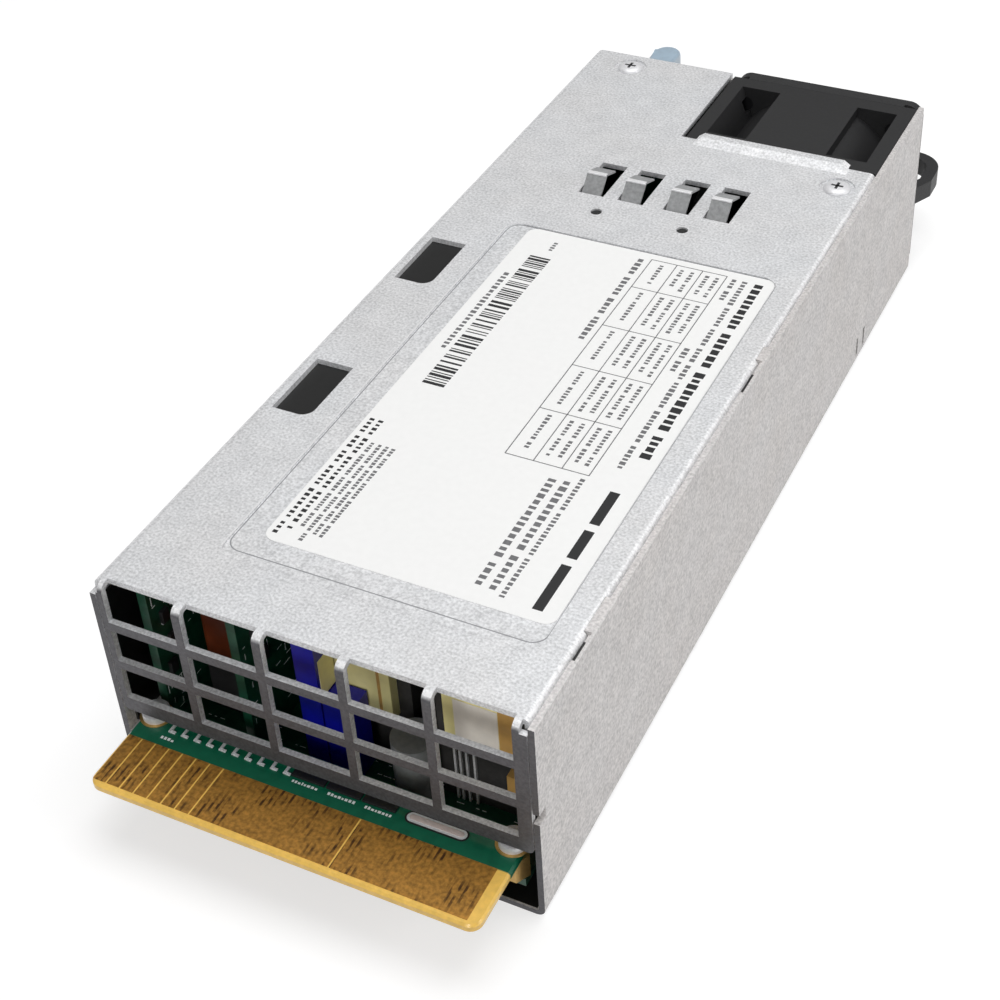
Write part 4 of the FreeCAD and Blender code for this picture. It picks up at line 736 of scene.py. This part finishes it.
@dataclass
class LabelPrint:
    """Ruled lines, bars and word-like dashes on the bare label."""

    level: float = 39.82
    thickness: float = 0.015
    seed: int = 7
    bars_x: Pair = (22.3, 26.4)
    bars_y: Pair = (62.2, 104.9)
    bar_widths: tuple[float, ...] = (0.25, 0.25, 0.45, 0.7)
    bar_gaps: tuple[float, ...] = (0.3, 0.3, 0.5, 0.9)
    table_columns: tuple[float, ...] = (43.6, 48.6, 53.6, 58.3)
    table_rows: tuple[float, ...] = (111.9, 102.4, 89.6, 77.0, 64.2, 51.4)
    rule_half: float = 0.09
    dash_length: Pair = (0.45, 0.8)
    dash_height: Pair = (0.72, 1.0)
    word_gap: float = 0.7
    heavy_x: Pair = (62.9, 64.6)
    heavy_spans: tuple[Pair, ...] = ((41.2, 49.3), (33.0, 39.6), (21.2, 31.4))

    def ink(self, shaper: Shaper, x0: float, x1: float, y0: float, y1: float) -> None:
        """Add one inked rectangle, in distances from the left wall and the grille."""
        low = (across(x0), along(y0), self.level)
        shaper.block(low, (across(x1), along(y1), self.level + self.thickness))

    def dashes(self, shaper: Shaper, row: DashRow, rng: random.Random) -> None:
        """Add a row of dashes.

        Args:
            shaper: collects the ink.
            row: the row to add.
            rng: seeded random source.
        """
        y = row.start
        left = rng.randint(*row.word)
        while y > row.end:
            length = row.height * rng.uniform(*self.dash_length)
            tall = row.height * rng.uniform(*self.dash_height)
            self.ink(shaper, row.x - tall / 2, row.x + tall / 2, y - length, y)
            y -= length + row.height * row.gap
            left -= 1
            if left == 0:
                y -= row.height * self.word_gap
                left = rng.randint(*row.word)

    def build(self) -> None:
        """Make the dark print and the grey print."""
        rng = random.Random(self.seed)
        dark, grey = Shaper(), Shaper()
        self.bar_strip(dark, rng)
        self.ruled_table(grey, rng)
        for row in LABEL_ROWS:
            self.dashes(dark if row.dark else grey, row, rng)
        for span in self.heavy_spans:
            self.ink(dark, *self.heavy_x, *span)
        dark.piece("label_print_dark", INK_DARK, "label_white")
        grey.piece("label_print_grey", INK_GREY, "label_white")

    def bar_strip(self, shaper: Shaper, rng: random.Random) -> None:
        """Add the strip of bars of uneven width."""
        front, y = self.bars_y
        while y > front:
            width = rng.choice(self.bar_widths)
            self.ink(shaper, *self.bars_x, y - width, y)
            y -= width + rng.choice(self.bar_gaps)

    def ruled_table(self, shaper: Shaper, rng: random.Random) -> None:
        """Add the table's rules and the dashes in its cells."""
        columns, rows, half = self.table_columns, self.table_rows, self.rule_half
        for x in columns:
            self.ink(shaper, x - half, x + half, rows[-1], rows[0])
        for y in rows:
            self.ink(shaper, columns[0], columns[-1], y - half, y + half)
        for left, right in zip(columns, columns[1:]):
            for top, bottom in zip(rows, rows[1:]):
                for share in ((0.5,) if left == columns[0] else (0.3, 0.7)):
                    x = left + (right - left) * share
                    self.dashes(shaper, DashRow(x, top - 1.2, bottom + 2.2, 0.85, gap=0.4), rng)


@dataclass
class CoverScrews:
    """Round heads with painted shade for a cross recess, in place of the plain cover screws."""

    radius: float = 2.7
    seat: float = 39.6
    rise: float = 0.8
    shank: float = 1.45
    depth: float = 3.2
    cross: Pair = (0.55, 2.4)
    places: tuple[Pair, ...] = ((10.1, 179.8), (66.9, 148.4))

    def build(self) -> None:
        """Make both screws, with painted shade for their cross recesses."""
        heads, recess_shades = Shaper(), Shaper()
        profile = (
            (0.0, -self.depth), (self.shank - 0.15, -self.depth), (self.shank, 0.3 - self.depth),
            (self.shank, 0.0), (self.radius, 0.0), (self.radius, 0.18), (self.radius - 0.12, 0.42),
            (self.radius - 0.55, 0.66), (self.radius - 1.2, self.rise), (0.0, self.rise),
        )
        level = self.seat + self.rise
        for x, y in self.places:
            heads.turned(profile, (across(x), along(y), self.seat), 40)
            # Painted shade: a dark cross block stands for each recess.
            for width, length in (self.cross, self.cross[::-1]):
                low = (across(x) - width / 2, along(y) - length / 2, level - 0.3)
                high = (across(x) + width / 2, along(y) + length / 2, level + 0.012)
                recess_shades.block(low, high)
        made = heads.piece("cover_screw_heads", STEEL_SCREW, "screw_steel", smooth=True)
        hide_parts("cover_screws")
        recess_shades.piece("cover_screw_recess_shade", SCREW_RECESS_SHADE, "screw_steel")


@dataclass
class RoofDetails:
    """Painted shade and a painted highlight round the recess, painted highlights on the tops of the springs
    and painted shade in small openings.
    """

    recess_low: Pair = (14.15, 14.9)
    recess_high: Pair = (67.58, 113.88)
    recess_floor: float = 39.7
    recess_round: float = 2.6
    # Width of the painted shade line, thickness of both strips, and width and gap of the painted highlight
    # strip.
    shade_line_width: float = 0.2
    line_rise: float = 0.015
    highlight_width: float = 0.28
    highlight_gap: float = 0.17
    finger_centres: tuple[float, ...] = (-13.1, -4.9, 4.5, 12.7)
    finger_half: float = 2.0
    crest_y: float = 39.9
    crest_top: float = 42.6
    pilot_places: tuple[Pair, ...] = ((-9.3, 30.5), (8.3, 30.5))
    pilot_radius: float = 1.07
    pilot_depth: float = 0.45
    seam_slots: tuple[Pair, ...] = ((14.0, 18.2), (80.5, 86.2))

    def build(self) -> None:
        """Make every detail of the roof."""
        self.recess_shade_and_highlight()
        self.crest_highlights()
        self.shades()

    @staticmethod
    def rounded(low: Pair, high: Pair, radius: float, steps: int = 8) -> list[Pair]:
        """Outline of a rounded rectangle.

        Args:
            low: lower left corner.
            high: upper right corner.
            radius: radius of its corners.
            steps: divisions of each corner.

        Returns:
            The outline, anticlockwise.
        """
        left, right = low[0] + radius, high[0] - radius
        front, rear = low[1] + radius, high[1] - radius
        points = []
        for turn, centre in enumerate(((right, front), (right, rear), (left, rear), (left, front))):
            points += arc(centre, radius, 90.0 * (turn - 1), 90.0, steps)
        return points

    def recess_shade_and_highlight(self) -> None:
        """Painted shade as a fine line on the recess's floor, and a painted highlight along its left edge."""
        line, rim = Shaper(), Shaper()
        (x0, y0), (x1, y1) = self.recess_low, self.recess_high
        loops = []
        for inset in (0.0, self.shade_line_width):
            low = (across(x0) + inset, along(y0) + inset)
            high = (across(x1) - inset, along(y1) - inset)
            loops.append(self.rounded(low, high, self.recess_round - inset))
        line.ring(*loops, self.recess_floor, self.recess_floor + self.line_rise)
        line.piece("recess_shade_line", RECESS_EDGE_SHADE, "cover_steel")
        edge = across(x0) - self.highlight_gap
        rim.block((edge - self.highlight_width, along(y0), ROOF), (edge, along(y1 - 2.0), ROOF + self.line_rise))
        rim.piece("recess_highlight", PAINTED_HIGHLIGHT, "cover_steel")

    def crest_highlights(self) -> None:
        """Painted highlights on the tops of the grounding fingers."""
        shaper = Shaper()
        for x in self.finger_centres:
            low = (x - self.finger_half, self.crest_y - 0.55, self.crest_top - 0.36)
            high = (x + self.finger_half, self.crest_y + 0.4, self.crest_top)
            shaper.block(low, high, 0.13)
        shaper.piece("finger_crest_highlights", PAINTED_HIGHLIGHT, "spring_steel")

    def shades(self) -> None:
        """Painted shade: dark discs in the pilot holes and dark blocks in the slots of the right seam."""
        shaper = Shaper()
        profile = ((0.0, 0.0), (self.pilot_radius, 0.0), (self.pilot_radius, 0.1), (0.0, 0.1))
        for x, y in self.pilot_places:
            shaper.turned(profile, (x, y, ROOF - self.pilot_depth), 28)
        for y0, y1 in self.seam_slots:
            low = (HALF_WIDTH - SHEET - 0.06, along(y0), ROOF - SHEET / 2 + 0.01)
            high = (HALF_WIDTH - SHEET / 2 - 0.02, along(y1), ROOF - SHEET / 2 + 0.14)
            shaper.block(low, high)
        shaper.piece("opening_shades", CHIP_BLACK, "cover_steel")


@dataclass
class LatchGrip:
    """Soft rounded grip on the latch lever's tail, in place of the plain one."""

    left: float = -26.2
    right: float = -20.3
    front: float = 94.1
    reach: float = 102.9
    low: float = 33.0
    high: float = 38.3
    rounding: float = 0.9
    steps: int = 16

    def build(self) -> None:
        """Make the grip."""
        shaper = Shaper()
        radius = (self.right - self.left) / 2
        middle = (self.left + self.right) / 2
        outline = [(self.left, self.front), (self.right, self.front)]
        outline += arc((middle, self.reach - radius), radius, 0.0, 180.0, self.steps)
        shaper.prism(outline, self.low, self.high)
        rims = [edge for edge in shaper.mesh.edges if abs(edge.verts[0].co.z - edge.verts[1].co.z) < TINY]
        bmesh.ops.bevel(shaper.mesh, geom=rims, offset=self.rounding, segments=3, profile=0.5, affect="EDGES")
        made = shaper.piece("latch_grip_moulding", GRIP_BLUE, "grip_blue", Body.LATCH, smooth=True)
        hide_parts("latch_grip")


@dataclass
class CardEdge:
    """Solder, print and bare rims on the card-edge board."""

    pin_first: float = 9.6
    pin_last: float = 30.5
    pins: int = 10
    slot_left: float = 51.4
    slot_right: float = 61.3
    slot_middle: float = 0.15
    slot_half: float = 0.85
    slot_steps: int = 10
    screw_places: tuple[float, ...] = (5.55, 67.95)
    screw_y: float = 1.9
    screw_rim: Pair = (1.3, 2.7)
    print_seed: int = 3
    print_rows: tuple[Point, ...] = (
        (32.2, 36.6, -1.0), (38.4, 43.0, -1.0), (44.8, 49.2, -1.0), (8.8, 11.2, -1.7),
    )
    strip_spans: tuple[Pair, ...] = ((31.6, 37.4), (37.7, 43.6), (43.9, 49.6))
    # How far back the painted shade sheets reach.
    shade_reach: float = 14.0

    def build(self) -> None:
        """Make each detail of the card edge."""
        self.solder_pins()
        self.slot_rim()
        self.screw_rims()
        self.small_print()
        self.dark_strip()
        self.mouth_shade_films()

    def solder_pins(self) -> None:
        """A row of bent pins in their solder near the grille."""
        shaper = Shaper()
        step = (self.pin_last - self.pin_first) / (self.pins - 1)
        for i in range(self.pins):
            x = across(self.pin_first + i * step)
            foot = (x - 0.28, along(-0.45), CARD_TOP)
            shaper.block(foot, (x + 0.22, along(1.2), CARD_TOP + 0.3), 0.08)
            shaper.block(foot, (x + 0.95, along(0.05), CARD_TOP + 0.24), 0.07)
        shaper.piece("card_solder_pins", TIN_WITH_HIGHLIGHT, "card_green")

    def slot_rim(self) -> None:
        """A tinned rim round the oblong slot, with a dark border outside it and the slot's floor inside."""
        middle = across((self.slot_left + self.slot_right) / 2)
        level = along(self.slot_middle)
        half = (self.slot_right - self.slot_left) / 2
        for name, finish, length, width, rise in (
            ("card_slot_border", CHIP_BLACK, half + 0.3, self.slot_half + 0.3, 0.05),
            ("card_slot_rim", TIN_WITH_HIGHLIGHT, half, self.slot_half, 0.10),
            ("card_slot_floor", SLOT_FLOOR, half - 0.45, self.slot_half - 0.4, 0.16),
        ):
            shaper = Shaper()
            reach = length - width
            outline = arc((middle + reach, level), width, -90.0, 180.0, self.slot_steps)
            outline += arc((middle - reach, level), width, 90.0, 180.0, self.slot_steps)
            shaper.prism(outline, CARD_TOP, CARD_TOP + rise)
            shaper.piece(name, finish, "card_green")

    def screw_rims(self) -> None:
        """Gold rings under the screw heads."""
        shaper = Shaper()
        inner, outer = self.screw_rim
        for x in self.screw_places:
            centre = (across(x), along(self.screw_y), CARD_TOP)
            shaper.turned(((inner, 0.0), (outer, 0.0), (outer, 0.06), (inner, 0.06)), centre)
        shaper.piece("card_screw_rims", BRASS, "contact_gold", smooth=True)

    def small_print(self) -> None:
        """Short white dashes on the resist."""
        rng = random.Random(self.print_seed)
        shaper = Shaper()
        for start, end, y in self.print_rows:
            x = start
            while x < end:
                width = rng.uniform(0.25, 0.5)
                low = (across(x), along(y - 0.2), CARD_TOP)
                shaper.block(low, (across(x + width), along(y + rng.uniform(0.15, 0.35)), CARD_TOP + 0.02))
                x += width + 0.2
        shaper.piece("card_small_print", SILK_WHITE, "card_green")

    def mouth_shade_films(self) -> None:
        """Painted shade: thin black sheets inside the right wall and on the floor under the card."""
        wall = 2 * HALF_WIDTH - SHEET
        box_piece("mouth_shade_films", FILM_BLACK, "film_black", (
            (wall - 0.06, wall - 0.01, 0.3, self.shade_reach, SHEET + 0.4, CARD_TOP + 2.0),
            (SHEET + 12.0, wall - 0.4, 0.3, self.shade_reach, SHEET + 0.01, SHEET + 0.06),
        ))

    def dark_strip(self) -> None:
        """A low black connector body between the print and the grille."""
        boxes = [(x0, x1, -0.3, 1.6, CARD_TOP, CARD_TOP + 0.4) for x0, x1 in self.strip_spans]
        box_piece("card_dark_strip", CHIP_BLACK, "card_green", boxes, 0.08)


@dataclass
class InnerDetails:
    """Print, pins, stickers and small parts that show through the grille."""

    winding_fronts: Pair = (9.0, 12.6)
    pin_places: tuple[float, ...] = (53.9, 54.8, 55.9, 57.2)
    control_face: float = 6.2
    driver_face: float = 21.2
    seed: int = 11
    marks: int = 34
    mark_rows: int = 5
    mark_thickness: float = 0.02
    chip_levels: tuple[float, ...] = (12.0, 17.5, 22.5, 28.0)

    def build(self) -> None:
        """Make the stickers, the board marks and the small parts."""
        self.stickers()
        self.board_marks()
        self.small_parts()

    def stickers(self) -> None:
        """Stickers, tapes, a black panel and pins on the transformers and capacitors."""
        face, rear = self.winding_fronts
        pins = [(x, x + 0.35, 10.5, 10.95, BOARD_TOP, 20.4) for x in self.pin_places]
        for name, finish, slot, boxes in (
            ("transformer_sticker", STICKER, "tape_yellow", [(55.6, 62.8, face - 0.08, face, 20.8, 30.0)]),
            ("transformer_tape", TAPE_GOLD, "tape_yellow", [(62.9, 65.55, face - 0.08, face, 20.6, 31.9)]),
            ("winding_tape_line", TAPE_GOLD, "tape_yellow", [(40.4, 40.9, rear - 0.08, rear, 15.9, 31.9)]),
            ("winding_tape_end", TAPE_GOLD, "tape_yellow", [(29.45, 29.9, rear - 0.08, rear, 15.9, 31.9)]),
            # A black panel over the lower front of the snubber capacitor.
            ("snubber_dark_panel", CHIP_BLACK, "film_brown", [(9.0, 16.0, 11.92, 12.0, 6.05, 16.4)]),
            ("capacitor_wrap", TAPE_YELLOW, "tape_yellow", [(33.2, 33.28, 8.3, 12.2, 21.4, 28.9)]),
            ("transformer_pins", TIN_WITH_HIGHLIGHT, "tape_yellow", pins),
            ("tan_capacitor", TAPE_GOLD, "film_brown", [(63.4, 66.2, 9.38, 10.98, 11.6, 16.4)]),
        ):
            box_piece(name, finish, slot, boxes)

    def board_marks(self) -> None:
        """White print on the upright boards and on the main board."""
        rng = random.Random(self.seed)
        marks = Shaper()
        for face, y0, y1 in ((self.control_face, 5.0, 16.0), (self.driver_face, 6.2, 18.0)):
            x = across(face)
            for _ in range(self.marks):
                y = along(rng.uniform(y0, y1))
                z = rng.uniform(9.0, 33.0)
                long_way, short_way = rng.uniform(0.5, 1.8), rng.uniform(0.12, 0.22)
                dy, dz = (long_way, short_way) if rng.random() < 0.4 else (short_way, long_way)
                marks.block((x, y, z), (x + self.mark_thickness, y + dy, z + dz))
        for row in range(self.mark_rows):
            y = along(5.4 + 2.1 * row)
            x = 9.0
            while x < 68.0:
                width = rng.uniform(0.3, 1.5)
                if rng.random() < 0.55:
                    low = (across(x), y, BOARD_TOP)
                    marks.block(low, (across(x + width), y + 0.16, BOARD_TOP + self.mark_thickness))
                x += width + rng.uniform(0.2, 0.9)
        marks.piece("board_print", SILK_WHITE, "board_green")

    def small_parts(self) -> None:
        """Small chips and solder joints on the boards behind the grille."""
        rng = random.Random(self.seed + 1)
        chips, joints = Shaper(), Shaper()
        for x in range(10, 68, 4):
            width, depth = rng.uniform(1.2, 2.8), rng.uniform(0.8, 1.6)
            x0, y0 = across(x + rng.uniform(0, 1.2)), along(rng.uniform(5.6, 6.0))
            high = (x0 + width, y0 + depth, BOARD_TOP + rng.uniform(0.5, 1.2))
            chips.block((x0, y0, BOARD_TOP), high, 0.06)
            for start in (x0 - 0.3, x0 + width + 0.02):
                high = (start + 0.28, y0 + depth - 0.1, BOARD_TOP + 0.3)
                joints.block((start, y0 + 0.1, BOARD_TOP), high)
        for face, y0 in ((self.control_face, 6.0), (self.driver_face, 7.2)):
            x0 = across(face)
            for level in self.chip_levels:
                y = along(y0 + rng.uniform(0.0, 3.0))
                chips.block((x0, y, level), (x0 + 0.7, y + 1.6, level + 2.4), 0.06)
                joints.block((x0, y + 0.1, level - 0.35), (x0 + 0.3, y + 1.5, level - 0.02))
        chips.piece("board_chips", CHIP_BLACK, "board_green")
        joints.piece("board_joints", TIN_WITH_HIGHLIGHT, "board_green")


# ---- Surroundings ----
@dataclass(frozen=True)
class Lamp:
    """A square soft lamp: where it hangs, what it faces, the length of its side and its watts."""

    name: str
    place: Point
    target: Point
    size: float
    power: float

    def build(self) -> None:
        """Hang the lamp."""
        data = bpy.data.lights.new(self.name, "AREA")
        data.size = self.size * MM
        data.energy = self.power
        made = put(self.name, data)
        place = Vector(self.place)
        made.location = place * MM
        made.rotation_euler = (Vector(self.target) - place).to_track_quat("-Z", "Y").to_euler()


@dataclass
class Studio:
    """Plain pale floor, soft lamps and the camera."""

    camera_place: Point = (115.021, -237.738, 222.561)
    camera_turn: Point = (52.4022, 2.0726, 25.2918)
    lens: float = 65.311
    shift: Pair = (-0.05, -0.10)
    floor_metres: float = 6.0
    floor_lit: float = 0.42
    floor_seen: float = 0.50
    glow_near: float = 0.60
    glow_metres: Pair = (0.45, 1.3)
    world_strength: float = 0.22
    lamps: tuple[Lamp, ...] = (
        Lamp("overhead", (60.0, 180.0, 900.0), (0.0, 20.0, 0.0), 700.0, 5.5),
        Lamp("right", (900.0, 120.0, 420.0), (0.0, 0.0, 20.0), 520.0, 2.5),
        Lamp("front", (120.0, -900.0, 460.0), (0.0, -80.0, 20.0), 300.0, 2.6),
    )

    def build(self) -> None:
        """Make floor, world, lamps and camera."""
        bpy.context.scene.view_settings.view_transform = "Standard"
        self.floor()
        self.world()
        for lamp in self.lamps:
            lamp.build()
        self.camera()

    @staticmethod
    def seen(nodes: Tree, *kinds: str) -> Socket:
        """Mask of camera rays and of other kinds named, which see a surface but don't carry its light."""
        path = nodes.add("ShaderNodeLightPath")
        mask = path.outputs["Is Camera Ray"]
        for kind in kinds:
            mask = nodes.maths("MAXIMUM", mask, path.outputs[f"Is {kind} Ray"])
        return mask

    def floor(self) -> None:
        """A pale floor that keeps the shadow and looks white to the camera."""
        bpy.ops.mesh.primitive_plane_add(size=self.floor_metres, location=(0, 0, -0.2 * MM))
        plane = bpy.context.object
        plane.name = "studio_floor"
        material = bpy.data.materials.new("floor_paper")
        material.use_nodes = True
        nodes = Tree(material.node_tree)
        shader = material.node_tree.nodes["Principled BSDF"]
        seen = self.seen(nodes, "Glossy", "Transmission")
        paper = nodes.blend(seen, (self.floor_lit,) * 3, (self.floor_seen,) * 3)
        nodes.join(paper, shader.inputs["Base Color"])
        shader.inputs["Roughness"].default_value = 0.9
        shader.inputs["Specular IOR Level"].default_value = 0.1
        reach = nodes.add("ShaderNodeVectorMath", operation="LENGTH")
        nodes.join(nodes.place(), reach.inputs[0])
        far = nodes.spread(reach.outputs["Value"], *self.glow_metres)
        glow = nodes.blend(far, (self.glow_near,) * 3, (1.0, 1.0, 1.0))
        nodes.join(nodes.blend(seen, (0.0, 0.0, 0.0), glow), shader.inputs["Emission Color"])
        shader.inputs["Emission Strength"].default_value = 1.0
        plane.data.materials.append(material)

    def world(self) -> None:
        """Even light from all round, white where the camera sees it."""
        world = bpy.data.worlds.new("studio")
        bpy.context.scene.world = world
        world.use_nodes = True
        nodes = Tree(world.node_tree)
        background = world.node_tree.nodes["Background"]
        extra = nodes.maths("MULTIPLY", self.seen(nodes, "Transmission"), 1.0 - self.world_strength)
        nodes.join(nodes.maths("ADD", extra, self.world_strength), background.inputs["Strength"])
        background.inputs["Color"].default_value = (1.0, 1.0, 1.0, 1.0)

    def camera(self) -> None:
        """Create the camera and make it the scene's own."""
        data = bpy.data.cameras.new("studio_camera")
        data.lens = self.lens
        data.shift_x, data.shift_y = self.shift
        data.clip_start = 0.01
        made = put("studio_camera", data)
        made.location = Vector(self.camera_place) * MM
        made.rotation_euler = [math.radians(angle) for angle in self.camera_turn]
        bpy.context.scene.camera = made


def main() -> None:
    """Build the surroundings and each sub-assembly in order."""
    logging.basicConfig(level=logging.INFO, format="%(message)s")
    for assembly in (Studio(), DressedSolids(), LabelPrint(), CoverScrews(), RoofDetails(), LatchGrip(),
                     CardEdge(), InnerDetails()):
        assembly.build()


if __name__ == "__main__":
    main()
